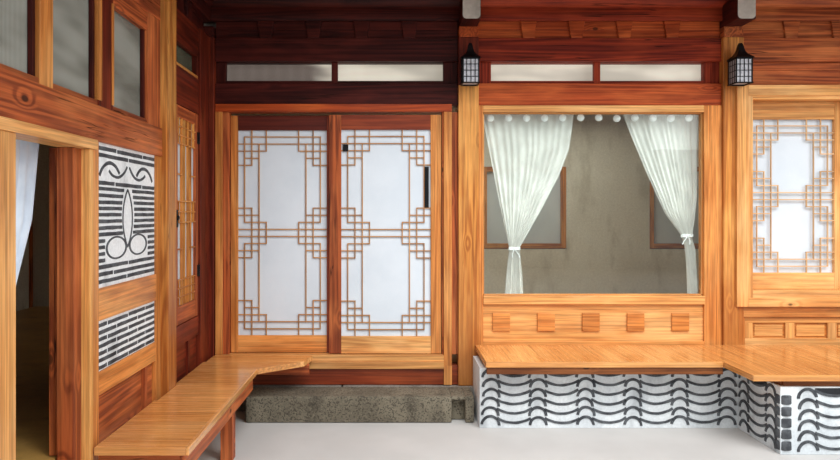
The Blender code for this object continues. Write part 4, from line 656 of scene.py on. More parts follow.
def step_pattern(wide, tall, across=0.0590, up=0.0579):
    """Bars as (start, end) points on a field: the steps of a corner and of a side's middle,
    counted in bars from the edges, and their mirror images."""
    def x(count):
        return count * across - 0.006 if count else 0.0

    def z(count):
        return count * up - 0.005 if count else 0.0

    half = tall / 2
    rails = [(z(1), 1, None), (z(2), 0, None), (z(3), 0, 4), (z(4), 1, 3), (z(5), 0, 2),
             (half - 0.5 * up, 0, None), (half - 1.5 * up, 1, 4), (half - 2.5 * up, 0, 3),
             (half - 3.5 * up, 0, 2)]
    uprights = [(1, z(1), half - 1.5 * up), (2, 0.0, z(5)), (2, half - 3.5 * up, half),
                (3, z(2), half), (4, 0.0, z(3)), (4, half - 1.5 * up, half)]
    bars = []
    for height, start, end in rails:
        for level in (height, tall - height):
            if end is None:
                bars.append(((x(start), level), (wide - x(start), level)))
            else:
                bars.append(((x(start), level), (x(end), level)))
                bars.append(((wide - x(end), level), (wide - x(start), level)))
    for count, start, end in uprights:
        for along in (x(count), wide - x(count)):
            if end == half:
                bars.append(((along, start), (along, tall - start)))
            else:
                bars.append(((along, start), (along, end)))
                bars.append(((along, tall - start), (along, tall - end)))
    return bars


def lay_lattice(bm, wall, bars, origin, out, width=BAR, mat=0):
    """Bars in front of a sheet; upright ones stand 0.4 mm prouder than level ones."""
    for (x0, z0), (x1, z1) in bars:
        level = abs(z1 - z0) < abs(x1 - x0)
        grow = width / 2
        along = (origin[0] + min(x0, x1) - grow, origin[0] + max(x0, x1) + grow)
        z = (origin[1] + min(z0, z1) - grow, origin[1] + max(z0, z1) + grow)
        depth = (out[0], out[1] - (0.0004 if level else 0.0))
        wall_board(bm, wall, along, depth, z, ease=0.001, mat=mat)


LEAF_BARS = step_pattern(0.7255, 1.6745)
print("bars on a leaf:", len(LEAF_BARS))

# %% [markdown]
# ## Hanging the two leaves
#
# The left leaf runs in the back track, the right one in front of it, and they overlap
# at the middle. Top rails get darker, redder finishes than the rest, as in the
# photograph: painted shade under the head. A piece on its own body slides with it.

# %% Leaves
LEAF_Z = (0.4495, 2.385)


def frame_of_four(bm, wall, along, out, z, stiles, top, bottom, mats=(0, 0, 0, 0)):
    """Left stile, right stile, top rail and bottom rail; the rails between the stiles."""
    first, last = stiles
    inner = (along[0] + first, along[1] - last)
    back = (out[0] + 0.0005, out[1] - 0.0005)
    for mat, across, depth, up in zip(
            mats, ((along[0], inner[0]), (inner[1], along[1]), inner, inner),
            (out, out, back, back), (z, z, (z[1] - top, z[1]), (z[0], z[0] + bottom))):
        wall_board(bm, wall, across, depth, up, ease=0.002, mat=mat)
    return inner, (z[0] + bottom, z[1] - top)


for name, body, along, stiles, track, mats in (
        ("left_leaf", "left_door", (-1.3245, -0.4465), (0.0575, 0.095), (-0.0915, -0.0555),
         (0, 1, 4, 0)),
        ("right_leaf", "right_door", (-0.518, 0.390), (0.097, 0.0855), (-0.050, -0.014),
         (6, 0, 1, 5))):
    bm = begin()
    inner, field = frame_of_four(bm, "front", along, track, LEAF_Z, stiles, 0.121, 0.1395, mats)
    for x in (along[0] + 0.12, along[1] - 0.12):
        board(bm, around(x, 0.018), around(-sum(track) / 2, 0.008), (0.4443, 0.451), mat=3)
    lay_lattice(bm, "front", LEAF_BARS, (inner[0], field[0]),
                (track[1] - 0.0178, track[1] - 0.006), mat=2)
    if body == "right_door":
        wall_rows(bm, "front", ((-0.408, -0.364, -0.0315, -0.017, 2.088, 2.144, 2, 3),))
    piece(bm, name + "_frame", [FRAME, LEAF_RED, LATTICE, IRON, SHADED_RAIL, PALE, BROWN], body,
          replaces=(name,))

# %% [markdown]
# ## Paper
#
# Mulberry paper is a felt of long fibres. It is white, and it lets light through; the
# faint blue cast of the daylight on it is painted into its colour. Noise stretched in
# two directions gives the fibres, a slow cloud the uneven thickness.

# %% Paper group and material
fibre_group, given, result = new_group(
    "paper_fibre", [("Vector", VECTOR, None), ("Scale", FLOAT, 60.0)],
    [("Fibre", FLOAT), ("Cloud", FLOAT)])
t = fibre_group
scaled = add_node(t, "VectorMath", {0: given["Vector"], "Scale": given["Scale"]},
                  operation="SCALE").outputs[0]
bent = noise(t, scaled, 0.15, 2.0).node.outputs["Color"]
scaled = vector_calc(t, "ADD", scaled, vector_calc(t, "MULTIPLY", bent, (6.0, 6.0, 6.0)))
threads = [step(t, noise(t, scaled, 1.0, 3.0, 0.6, stretch), 0.55, 0.72)
           for stretch in ((1.0, 1.0, 7.0), (7.0, 7.0, 1.0))]
t.links.new(calc(t, "MAXIMUM", *threads), result.inputs["Fibre"])
t.links.new(noise(t, scaled, 0.04, 3.0), result.inputs["Cloud"])


def paper(name, light, shade):
    made, tree, shader = start_material(name, roughness=0.9)
    felt = add_node(tree, "Group", {"Vector": object_place(tree), "Scale": 60.0},
                    node_tree=fibre_group).outputs
    colour = blend(tree, step(tree, felt["Cloud"], 0.35, 0.68), shade, light)
    colour = blend(tree, times(tree, felt["Fibre"], 0.14), colour, rgb(250, 250, 246))
    finish_surface(tree, shader, colour, felt["Fibre"], 0.15, 0.001)
    return made


PAPER = paper("mulberry_paper", rgb(220, 230, 238), rgb(211, 222, 231))
dress(PAPER, "left_leaf_paper", "right_leaf_paper", "side_window_paper")
dress(paper("paper_in_shade", rgb(206, 212, 216), rgb(196, 203, 208)), "side_door_paper")
print("papers dressed")

# %% [markdown]
# ## Iron pull
#
# The right leaf is drawn by a tall flat bar that stands on its last lattice bars. Two
# round-headed screws hold it.

# %% Door pull
def ball(bm, place, radius, flat=(1, 1, 1), sides=(16, 10)):
    part = bmesh.new()
    bmesh.ops.create_uvsphere(part, u_segments=sides[0], v_segments=sides[1], radius=radius,
                              matrix=Matrix.Translation(place) @ Matrix.Diagonal((*flat, 1)))
    take_in(bm, part)


def cylinder(bm, matrix, radius, depth, sides):
    part = bmesh.new()
    bmesh.ops.create_cone(part, cap_ends=True, segments=sides, radius1=radius, radius2=radius,
                          depth=depth, matrix=matrix)
    take_in(bm, part)


bm = begin()
wall_rows(bm, "front", ((0.2525, 0.2895, -0.0315, -0.0190, 1.6305, 1.9645, 3, 0),
                        (0.262, 0.280, -0.0195, -0.0163, 1.68, 1.915, 2, 0)))
for z in (1.652, 1.943):
    ball(bm, (0.271, 0.0190, z), 0.005, (1, 0.5, 1))
piece(bm, "door_pull_plate", IRON, "right_door", replaces=("door_pull",))

# %% [markdown]
# ## The picture window's frame
#
# One large pane in a shallow casing, over a panel with five raised squares. The squares
# are the real wall's ornament: blocks with soft edges, planted on the board.

# %% Picture window frame
PANE_X = (0.727, 2.512)
PANE_Z = (0.920, 2.403)
BEAD = 0.012
bm = begin()
wall_rows(bm, "front", (
    (BAYS[1][0], PANE_X[0], -0.10, 0.008, 0.3353, 2.4587, 4, 0),
    (PANE_X[1], BAYS[1][1], -0.10, 0.008, 0.3353, 2.4587, 4, 0),
    (*PANE_X, -0.10, 0.007, PANE_Z[1], 2.4584, 4, 1),
    (*PANE_X, -0.09, 0.022, 0.852, PANE_Z[0], 4, 1),
    (*PANE_X, -0.10, 0.007, 0.3356, 0.553, 3, 0),
    (*PANE_X, -0.08, -0.012, 0.553, 0.852, 1, 1)))
for number in range(-2, 3):
    along = around(sum(PANE_X) / 2 - 0.02 + number * 0.36207, 0.14)
    wall_board(bm, "front", along, (-0.013, 0.004), (0.634, 0.779), ease=0.004, axis=0)
wall_rows(bm, "front", (
    (PANE_X[0], PANE_X[0] + BEAD, -0.041, -0.022, *PANE_Z, 3, 1),
    (PANE_X[1] - BEAD, PANE_X[1], -0.041, -0.022, *PANE_Z, 3, 1),
    (*PANE_X, -0.041, -0.022, PANE_Z[0], PANE_Z[0] + BEAD, 3, 1),
    (*PANE_X, -0.041, -0.022, PANE_Z[1] - BEAD, PANE_Z[1], 3, 1)))
piece(bm, "picture_window_casing", [FRAME, PALE], replaces=("picture_window_frame",))

# %% [markdown]
# ## The right bay's window
#
# A wide casing, an inner frame that stands proud, two lattice sashes on two tracks and
# a row of small sunk panels below. The sashes carry the same step pattern as the door
# leaves, fitted to their shorter field.

# %% Right bay window
INNER_R = (2.835, 4.535)
START, STOP = BAYS[2]
bm = begin()
wall_rows(bm, "front", (
    (START, 2.845, -0.10, 0.0, 0.3353, 2.54, 3, 0),
    (4.525, STOP, -0.10, 0.0, 0.3353, 2.54, 3, 0),
    (*INNER_R, -0.099, -0.001, 0.826, 0.900, 3, 1),
    (*INNER_R, 0.0003, 0.0428, 2.53, 2.603, 2, 0),
    (START, STOP, -0.098, 0.012, 0.749, 0.836, 3, 0),
    (START, 3.45, -0.08, -0.03, 0.3356, 0.759, 1, 0),
    (3.4512, 4.12, -0.08, -0.03, 0.3356, 0.759, 1, 0),
    (4.1212, STOP, -0.08, -0.03, 0.3356, 0.759, 1, 0),
    (START, STOP, -0.03, -0.012, 0.698, 0.749, 4, 1),
    (START, STOP, -0.03, -0.012, 0.453, 0.573, 4, 1)))
for number in range(6):
    x = START + 0.02 + number * 0.34
    wall_board(bm, "front", (x, min(x + 0.075, STOP)), (-0.03, -0.0125), (0.573, 0.698),
               ease=0.003, mat=1)
    if x + 0.3 < STOP:
        wall_board(bm, "front", (x + 0.093, x + 0.322), (-0.031, -0.022), (0.590, 0.681),
                   ease=0.006, mat=1)
piece(bm, "right_window_wall", [FRAME, PALE], replaces=("side_window_frame",))

bm = begin()
frame_of_four(bm, "front", INNER_R, (-0.097, 0.048), (0.900, 2.540), (0.049, 0.049), 0.040, 0.065)
frame_of_four(bm, "front", (2.752, 4.618), (0.0328, 0.058), (0.838, 2.613), (0.093, 0.093),
              0.083, 0.072)
piece(bm, "right_window_casing", PALE)

bm = begin()
for along, stiles, out in (((2.8843, 3.700), (0.040, 0.094), (-0.090, -0.058)),
                           ((3.670, 4.4857), (0.094, 0.040), (-0.060, -0.026))):
    inner, field = frame_of_four(bm, "front", along, out, (0.9653, 2.4997), stiles, 0.146, 0.135)
    bars = step_pattern(inner[1] - inner[0], field[1] - field[0], 0.0575, 0.0575)
    lay_lattice(bm, "front", bars, (inner[0], field[0]), (out[1] - 0.016, out[1] - 0.004), mat=1)
piece(bm, "right_window_sashes", [PALE, SUNLIT], replaces=("side_window_sashes",))

# %% [markdown]
# ## Glass
#
# Clear glass is a smooth Principled shader with full transmission. A pane this thin
# would still throw a dark shadow in a path tracer, so shadow rays see it as clear.
# Ribbed glass has a fine upright corrugation: a sine along the wall drives a bump, and
# a milky colour stands for the light it scatters. Its cloudy bands are painted
# reflection, the transom's dark patch at the left is painted shade, and its glow is
# painted light.

# %% Glass materials
CLEAR, tree, shader = start_material("clear_glass", base_color=rgb(236, 244, 240),
                                     transmission_weight=1.0, ior=1.45)
place = object_place(tree)
smear = step(tree, noise(tree, place, 7.0, 3.0), 0.5, 0.8)
tree.links.new(times(tree, smear, 0.06), shader.inputs["Roughness"])
relief = add_node(tree, "Bump", {"Height": noise(tree, place, 2.5, 1.0), "Strength": 0.05,
                                 "Distance": 0.01})
tree.links.new(relief.outputs[0], shader.inputs["Normal"])
clear = add_node(tree, "BsdfTransparent", {"Color": (0.93, 0.95, 0.94, 1.0)})
path = add_node(tree, "LightPath")
mixed = add_node(tree, "MixShader", {0: path.outputs["Is Shadow Ray"], 1: shader.outputs[0],
                                     2: clear.outputs[0]})
tree.links.new(mixed.outputs[0], tree.nodes["Material Output"].inputs["Surface"])

rib_group, given, result = new_group(
    "glass_ribs", [("Along", FLOAT, 0.0), ("Pitch", FLOAT, 0.008)],
    [("Height", FLOAT), ("Line", FLOAT)])
t = rib_group
turns = times(t, calc(t, "DIVIDE", given["Along"], given["Pitch"]), 2 * math.pi)
wave = calc(t, "SINE", turns)
t.links.new(wave, result.inputs["Height"])
t.links.new(step(t, wave, 0.2, 0.95), result.inputs["Line"])


def ribbed(name, axis, light, shade, see_through, painted_glow=0.0, painted_dark_below=None):
    """Ribbed glass whose ribs follow each other along x (0) or y (1)."""
    made, tree, shader = start_material(name, emission_strength=painted_glow, roughness=0.12,
                                        transmission_weight=see_through)
    place = object_place(tree)
    along = parts_of(tree, place)[axis]
    ribs = add_node(tree, "Group", {"Along": along, "Pitch": 0.009},
                    node_tree=rib_group).outputs
    # The cloud's light and dark bands are painted reflection.
    cloud = noise(tree, place, 1.0, 2.0, stretch=(1.2, 1.2, 5.0))
    colour = blend(tree, step(tree, cloud, 0.35, 0.65), shade, light)
    # A dark patch towards the left: painted shade in the glass.
    if painted_dark_below is not None:
        edge = calc(tree, "MULTIPLY_ADD", cloud, 1.6, calc(tree, "SUBTRACT", along, 0.8))
        lit = step(tree, edge, painted_dark_below, painted_dark_below + 0.35)
        colour = blend(tree, lit, rgb(78, 62, 58), colour)
    colour = blend(tree, times(tree, ribs["Line"], 0.6), colour, shade)
    finish_surface(tree, shader, colour, ribs["Height"], 0.6, 0.0015)
    # The glow is painted light.
    tree.links.new(colour, shader.inputs["Emission Color"])
    return made


dress(CLEAR, "picture_window_glass")
dress(ribbed("ribbed_transom", 0, rgb(236, 230, 214), rgb(190, 184, 170), 0.08, 0.55, -0.72),
      "transom_glass")
dress(ribbed("ribbed_wing_pane", 1, rgb(172, 174, 164), rgb(122, 122, 112), 0.12, 0.09),
      "wing_glass")
dress(ribbed("ribbed_side_pane", 1, rgb(120, 124, 104), rgb(70, 72, 58), 0.25),
      "side_transom_glass")
print("glass dressed")

# %% [markdown]
# ## Cloth
#
# A sheer white curtain shows its weave only close up; from the courtyard it shows soft
# folds and lets a little of the room through. A fine two-way wave gives the threads.

# %% Cloth material
WEAVE = 1800.0


def cloth(name, light, shade, alpha, painted_glow=0.0):
    made, tree, shader = start_material(name, roughness=0.85, sheen_weight=0.3, alpha=alpha,
                                        emission_strength=painted_glow)
    where = add_node(tree, "UVMap", uv_map="cloth").outputs[0]
    waves = [calc(tree, "SINE", times(tree, part, WEAVE)) for part in parts_of(tree, where)[:2]]
    colour = blend(tree, step(tree, noise(tree, where, 6.0, 3.0), 0.35, 0.7), shade, light)
    finish_surface(tree, shader, colour, times(tree, *waves), 0.2, 0.0004)
    tree.links.new(colour, shader.inputs["Emission Color"])
    return made


# The glow on the sheer cloth and the white yarn is painted light; the yarn hangs in shade under
# the casing.
SHEER = cloth("sheer_curtain", rgb(248, 246, 242), rgb(230, 228, 224), 0.88, painted_glow=0.04)
COTTON = cloth("cotton_curtain", rgb(228, 240, 252), rgb(206, 220, 236), 1.0)
WHITE_YARN = cloth("white_yarn", rgb(252, 252, 252), rgb(238, 240, 242), 1.0, painted_glow=0.25)
print("cloth made")

# %% [markdown]
# ## Tied-back curtains
#
# A flat grid of cloth is moved point by point: its two edges follow the curtain's
# outline from the rod to the tie and on to the hem, and the cloth between them lies in
# pleats. Where the outline narrows, the same cloth has less room, so the pleats grow
# deeper. That is what a tie does to real cloth, and it keeps the cloth's size.

# %% Curtains
def between(table, z):
    """Read a table of (z, value) rows, listed from the top down."""
    for (z0, v0), (z1, v1) in zip(table, table[1:]):
        if z1 <= z <= z0:
            return v0 + (v1 - v0) * (z0 - z) / (z0 - z1)
    return table[0][1] if z > table[0][0] else table[-1][1]


def hanging_cloth(left, right, y, top, bottom, pleats, deep, columns=150, rows=90, turn=None):
    """Cloth between two edge tables; deep is the pleats' depth at (z, depth) rows."""
    bm = bmesh.new()
    uv = bm.loops.layers.uv.new("cloth")
    bmesh.ops.create_grid(bm, x_segments=columns, y_segments=rows, size=0.5)
    seed = random.Random(pleats * 10)
    phase = [seed.uniform(-0.9, 0.9) for _ in range(4)]
    for face in bm.faces:
        for loop in face.loops:
            flat = loop.vert.co
            loop[uv].uv = (flat.x + 0.5, (flat.y + 0.5) * (top - bottom))
    for vert in bm.verts:
        share, down = vert.co.x + 0.5, 0.5 - vert.co.y
        z = top + (bottom - top) * down
        x0, x1 = between(left, z), between(right, z)
        wander = 0.25 * math.sin(3.1 * share * math.pi + phase[0]) * (0.3 + down)
        wander += 0.12 * math.sin(7.3 * share * math.pi + phase[1] + 2.0 * down)
        pleat = math.sin(2 * math.pi * (pleats * share + wander))
        pleat = math.copysign(abs(pleat) ** 0.8, pleat)
        vert.co = Vector((x0 + (x1 - x0) * share, y + between(deep, z) * pleat, z))
    if turn:
        bmesh.ops.transform(bm, matrix=turn, verts=bm.verts)
    return bm


def cloth_area(made):
    return sum(face.area for face in made.data.polygons)


ROD_Y, ROD_Z = 0.155, 2.425
bm = bmesh.new()
left_x, right_x = BAYS[1][0] - 0.03, BAYS[1][1] + 0.03
cylinder(bm, Matrix.Translation(((left_x + right_x) / 2, ROD_Y, ROD_Z))
         @ Matrix.Rotation(math.radians(90), 4, "Y"), 0.008, right_x - left_x, 20)
bracket = begin()
for x in (BAYS[1][0] - 0.018, BAYS[1][1] + 0.018):
    board(bracket, around(x, 0.02), (0.1328, 0.167), around(ROD_Z, 0.03))
take_in(bm, bracket)
rod = piece(bm, "curtain_rod", IRON, replaces=("window_curtains",), smooth=40)

TOP_Z, HEM_Z = 2.433, 0.885
LEFT_EDGES = (
    ((2.43, 0.742), (2.36, 0.748), (1.67, 0.885), (1.44, 0.935), (1.288, 0.968), (1.18, 0.952),
     (0.88, 0.925)),
    ((2.43, 1.50), (2.397, 1.50), (2.118, 1.46), (1.894, 1.375), (1.582, 1.21), (1.30, 1.048),
     (1.08, 1.070), (0.88, 1.082)))
RIGHT_EDGES = (
    ((2.43, 1.90), (2.235, 1.975), (1.908, 2.113), (1.582, 2.262), (1.404, 2.395),
     (1.315, 2.425), (1.155, 2.440), (0.88, 2.450)),
    ((2.43, 2.525), (2.03, 2.525), (1.73, 2.522), (1.523, 2.499), (1.396, 2.478), (1.288, 2.505),
     (1.0, 2.525), (0.88, 2.525)))
CURTAIN_DEEP = ((2.43, 0.004), (2.0, 0.008), (1.30, 0.013), (1.15, 0.012), (0.88, 0.011))
for name, edges in (("curtain_left", LEFT_EDGES), ("curtain_right", RIGHT_EDGES)):
    bm = hanging_cloth(*edges, ROD_Y, TOP_Z, HEM_Z, 12, CURTAIN_DEEP)
    made = piece(bm, name, SHEER, smooth=180)
    size = cloth_area(made)
    print(name, "cloth area", round(size, 3))

# %% [markdown]
# ## Bows and pompoms
#
# Each curtain is tied with a white band in a loose bow, and a row of white yarn balls
# hangs along the rod. A ball is an icosphere roughened in and out by noise, so its edge
# looks woolly and not like a bead.

# %% Bows and pompoms
def ribbon(bm, points, sizes):
    """A soft flat band along points: rings of a circle bridged one after the other."""
    part = bmesh.new()
    rings = []
    for number, (point, size) in enumerate(zip(points, sizes)):
        ahead = Vector(points[min(number + 1, len(points) - 1)])
        behind = Vector(points[max(number - 1, 0)])
        turn = (ahead - behind).to_track_quat("Z", "Y").to_matrix().to_4x4()
        matrix = Matrix.Translation(point) @ turn @ Matrix.Diagonal((size, size * 0.45, 1, 1))
        ring = bmesh.ops.create_circle(part, segments=10, radius=1.0, matrix=matrix)["verts"]
        rings.append([e for e in part.edges if e.verts[0] in ring and e.verts[1] in ring])
    for first, second in zip(rings, rings[1:]):
        bmesh.ops.bridge_loops(part, edges=first + second)
    bmesh.ops.holes_fill(part, edges=rings[0] + rings[-1], sides=0)
    bmesh.ops.recalc_face_normals(part, faces=part.faces)
    take_in(bm, part)


BOW_Y = 0.134
bows = bmesh.new()
for x, z, side in ((1.006, 1.293, 1), (2.437, 1.400, -1)):
    band = bmesh.new()
    bmesh.ops.create_cone(band, cap_ends=False, segments=28, radius1=0.047, radius2=0.045,
                          depth=0.026)
    bmesh.ops.scale(band, vec=(1.0, 0.36, 1.0), verts=band.verts)
    bmesh.ops.solidify(band, geom=band.faces[:], thickness=-0.0015)
    bmesh.ops.translate(band, vec=(x, 0.153, z), verts=band.verts)
    take_in(bows, band)
    for reach in (-1, 1):
        loop = ((0, 0, 0), (0.022, -0.004, 0.013), (0.043, -0.003, 0.010), (0.045, 0, -0.006),
                (0.024, 0.001, -0.007), (0, 0, 0))
        ribbon(bows, [(x + reach * dx, BOW_Y + dy, z + dz) for dx, dy, dz in loop],
               (0.005, 0.008, 0.009, 0.009, 0.007, 0.005))
        tail = ((0, 0, 0, 0), (0.012, 0, -0.002, -0.022), (0.026, 0.006, 0, -0.048),
                (0.030, 0.012, 0, -0.072))
        ribbon(bows, [(x + reach * dx + side * lean, BOW_Y + dy, z + dz)
                      for dx, lean, dy, dz in tail], (0.005, 0.007, 0.008, 0.009))
    ball(bows, (x, BOW_Y - 0.002, z), 0.009, sides=(14, 10))
piece(bows, "curtain_bows", WHITE_YARN, smooth=60)

balls = bmesh.new()
for number in range(12):
    part = bmesh.new()
    bmesh.ops.create_icosphere(part, subdivisions=4, radius=0.029)
    place = Vector((0.803 + number * 0.1488, 0.112, 2.372 + dice.uniform(-0.004, 0.004)))
    for vert in part.verts:
        vert.co *= 1.0 + 0.11 * soft_noise.noise(vert.co * 260 + place * 40)
    bmesh.ops.translate(part, vec=place, verts=part.verts)
    take_in(balls, part)
    cylinder(balls, Matrix.Translation(place + Vector((0, 0.02, 0.03)))
             @ Matrix.Rotation(math.radians(-38), 4, "X"), 0.0012, 0.062, 6)
piece(balls, "curtain_pompoms", WHITE_YARN, smooth=180)

# %% [markdown]
# ## The wing's wall
#
# The wall on the left comes towards the camera: boards and a hinged lattice door in
# the short bay, then patterned masonry, a doorway and a row of ribbed panes in the
# long one. Places along it are counted from the corner.

# %% Wing wall timbers
BAY_LOW, BAY_HIGH = 1.1328, 3.0672
EDGE_LOW, EDGE_HIGH = 0.2843, 0.8672
WING_PIECES = (
    ("side_door_apron", STAINED_AND_SHADED, "side_door_boards", "post", (
        (EDGE_LOW, EDGE_HIGH, -0.10, -0.02, 0.335, 0.66, 2.5, 0),
        (EDGE_LOW, EDGE_HIGH, -0.099, 0.0, 0.66, 0.8042, 4, 0),
        (0.50, 0.54, -0.05, -0.002, 0.335, 0.66, 2.5, 0),
        (EDGE_LOW, EDGE_HIGH, -0.098, -0.001, 0.2006, 0.335, 4, 0))),
    ("side_door_lintel", [STAINED_AND_SHADED, HONEY], "side_door_head", "post", (
        (EDGE_LOW, EDGE_HIGH, -0.10, 0.0, 2.3455, 2.62, 4, 0),
        (EDGE_LOW, EDGE_HIGH, -0.10, 0.0, 2.78, 3.0037, 4, 0),
        (EDGE_LOW, EDGE_LOW + 0.03, -0.099, -0.001, 2.62, 2.78, 2.5, 0),
        (EDGE_HIGH - 0.03, EDGE_HIGH, -0.099, -0.001, 2.62, 2.78, 2.5, 0),
        (EDGE_LOW + 0.03, EDGE_HIGH - 0.03, -0.10, 0.004, 2.612, 2.630, 2.5, 1))),
    ("wing_window_timbers", [BROWN, FRAME, STAINED_AND_SHADED, DARK_BEAM], "wing_window_row", "post", (
        (BAY_LOW, BAY_HIGH, -0.10, 0.012, 1.95, 2.13, 5, 0),
        (BAY_LOW, BAY_HIGH, -0.10, 0.0, 2.815, 3.0037, 4, 0),
        (BAY_LOW, 1.35, -0.043, -0.001, 2.13, 2.815, 4, 0),
        (1.865, 2.04, -0.043, -0.001, 2.13, 2.815, 4, 2),
        (1.867, 1.885, -0.042, 0.006, 2.16, 2.70, 2.5, 1),
        (2.010, 2.04, -0.042, 0.004, 2.16, 2.70, 2.5, 1),
        (2.50, 2.61, -0.043, -0.001, 2.13, 2.815, 4, 1),
        (2.985, BAY_HIGH, -0.043, -0.001, 2.13, 2.815, 4, 1),
        (BAY_LOW, BAY_HIGH, -0.0427, -0.008, 2.13, 2.16, 2.5, 0),
        (BAY_LOW, BAY_HIGH, -0.0427, -0.008, 2.70, 2.815, 2.5, 0),
        (1.35, 1.378, -0.0425, -0.022, 2.16, 2.70, 2.5, 3),
        (2.04, 2.068, -0.0425, -0.022, 2.16, 2.70, 2.5, 3),
        (2.61, 2.638, -0.0425, -0.022, 2.16, 2.70, 2.5, 3))),
    # The second finish here is pale pine with painted sunlight on the jamb strips.
    ("wing_panel_timbers", [FRAME, SUNLIT_JAMB, BROWN, STAINED_AND_SHADED], "wing_panel_frame", "post", (
        (BAY_LOW, 1.22, -0.10, 0.0, 0.2003, 1.9497, 4, 0),
        (2.05, 2.12, -0.10, 0.004, 0.2003, 1.9497, 4, 0),
        (2.12, 2.155, -0.105, 0.0, 0.2006, 1.8997, 3, 1),
        (2.155, 2.19, -0.105, 0.022, 0.2006, 1.8997, 4, 1),
        (2.19, 2.266, -0.105, -0.020, 0.2006, 1.8997, 4, 2),
        (2.25, 2.2655, -0.052, -0.040, 0.42, 1.8997, 3, 1),
        (1.22, 2.05, -0.0100, 0.0035, 1.04, 1.205, 3, 0),
        (1.22, 2.05, -0.099, -0.001, 0.66, 0.78, 4, 0),
        (1.22, 2.05, -0.098, -0.025, 0.335, 0.66, 2.5, 2),
        (1.36, 1.40, -0.05, -0.002, 0.335, 0.66, 2.5, 2),
        (1.22, 2.05, -0.097, -0.002, 0.2009, 0.335, 4, 2))),
    ("doorway_jamb", [HONEY, PALE], "doorway_near_jamb", "frame", (
        (2.835, 3.0675, -0.105, 0.022, 0.2006, 1.8997, 3, 1),)),
    ("doorway_head", [PALE, BROWN], "doorway_lintel", "frame", (
        (2.1203, BAY_HIGH, -0.105, 0.030, 1.90, 1.9497, 3, 0),
        (1.49, 3.0669, -0.165, -0.105, 1.912, 1.9494, 3, 1))),
    ("doorway_sill", BROWN, "doorway_threshold", "frame", (
        (2.2663, 2.8347, -0.10, 0.0, 0.2003, 0.42, 4, 0),)),
)
for name, finish, replaced, slot, rows in WING_PIECES:
    bm = begin()
    if name == "doorway_jamb":
        post(bm, CORNER_X, WING_END_Y)
    wall_rows(bm, "wing", rows)
    piece(bm, name, finish, replaces=(replaced,))

# %% [markdown]
# ## The wing's two leaves
#
# The hinged side door has a narrow lattice: a tall light in the middle, short ones
# beside it and bands of small squares at the head, the middle and the foot. The
# doorway's sliding leaf is a plain framed board, pushed back behind the masonry.

# %% Wing leaves
bm = begin()
inner, field = frame_of_four(bm, "wing", (0.295, 0.862), (-0.030, 0.0), (0.81, 2.34),
                             (0.075, 0.075), 0.085, 0.13, (1, 1, 1, 1))
wide, tall = inner[1] - inner[0], field[1] - field[0]
unit = wide / 5.6
lines = [wide * share for share in (0.25, 0.40, 0.60, 0.75)]
rows = [unit * 0.8 * n for n in (1, 2, 3)]
ends = ((0.0, rows[2]), (tall - rows[2], tall))
waist = (tall / 2 - unit, tall / 2 + unit)
bars = [((0.0, z), (wide, z)) for z in
        (*rows, *(tall - r for r in rows), waist[0], tall / 2, waist[1])]
bars += [((x, 0.0), (x, tall)) for x in lines]
for share, spans in ((0.08, (*ends, waist)), (0.92, (*ends, waist)), (0.5, ends)):
    bars += [((wide * share, low), (wide * share, high)) for low, high in spans]
for z in (tall * 0.30, tall * 0.70):
    bars += [((x0, z), (x1, z)) for x0, x1 in ((0.0, lines[0]), (lines[3], wide))]
lay_lattice(bm, "wing", bars, (inner[0], field[0]), (-0.0178, 0.0))
piece(bm, "side_door_lattice", [HONEY, BROWN], "side_door",
      replaces=("side_door_leaf",))

bm = begin()
for z in (1.15, 2.16):
    for number in range(5):
        cylinder(bm, Matrix.Translation((-1.484, -0.2895, z - 0.036 + number * 0.018)), 0.0052,
                 0.0172, 14)
    wall_board(bm, "wing", (0.2905, 0.330), (-0.002, 0.0035), (z - 0.044, z + 0.044), ease=0.001)
wall_board(bm, "wing", (0.792, 0.822), (0.0, 0.006), (1.49, 1.61), ease=0.0025)
ball(bm, (-1.482, -0.807, 1.555), 0.019, (0.55, 1, 1), (20, 12))
piece(bm, "side_door_iron", IRON, "side_door", smooth=40)

bm = begin()
inner, field = frame_of_four(bm, "wing", (1.59, 2.23), (-0.158, -0.122), (0.4255, 1.90),
                             (0.09, 0.09), 0.11, 0.20)
wall_board(bm, "wing", inner, (-0.147, -0.133), field, ease=0.0, mat=1)
for z in (0.95, 1.35):
    wall_board(bm, "wing", inner, (-0.152, -0.128), around(z, 0.05))
for along in (1.69, 2.13):
    wall_board(bm, "wing", around(along, 0.018), (-0.144, -0.136), (0.4203, 0.427))
wall_board(bm, "wing", (2.165, 2.195), (-0.1225, -0.117), (1.06, 1.20), ease=0.002, mat=2)
piece(bm, "wing_leaf_boards", [BROWN, STAINED_AND_SHADED, IRON], "wing_door", replaces=("wing_leaf",))

# %% [markdown]
# ## Mortar and slate
#
# The patterned masonry is white lime mortar with strips of grey tile pressed into it.
# The mortar is trowelled by hand: faintly cloudy, gritty, with smudges next to the
# tiles. The strips are fired clay, blue-grey to black.

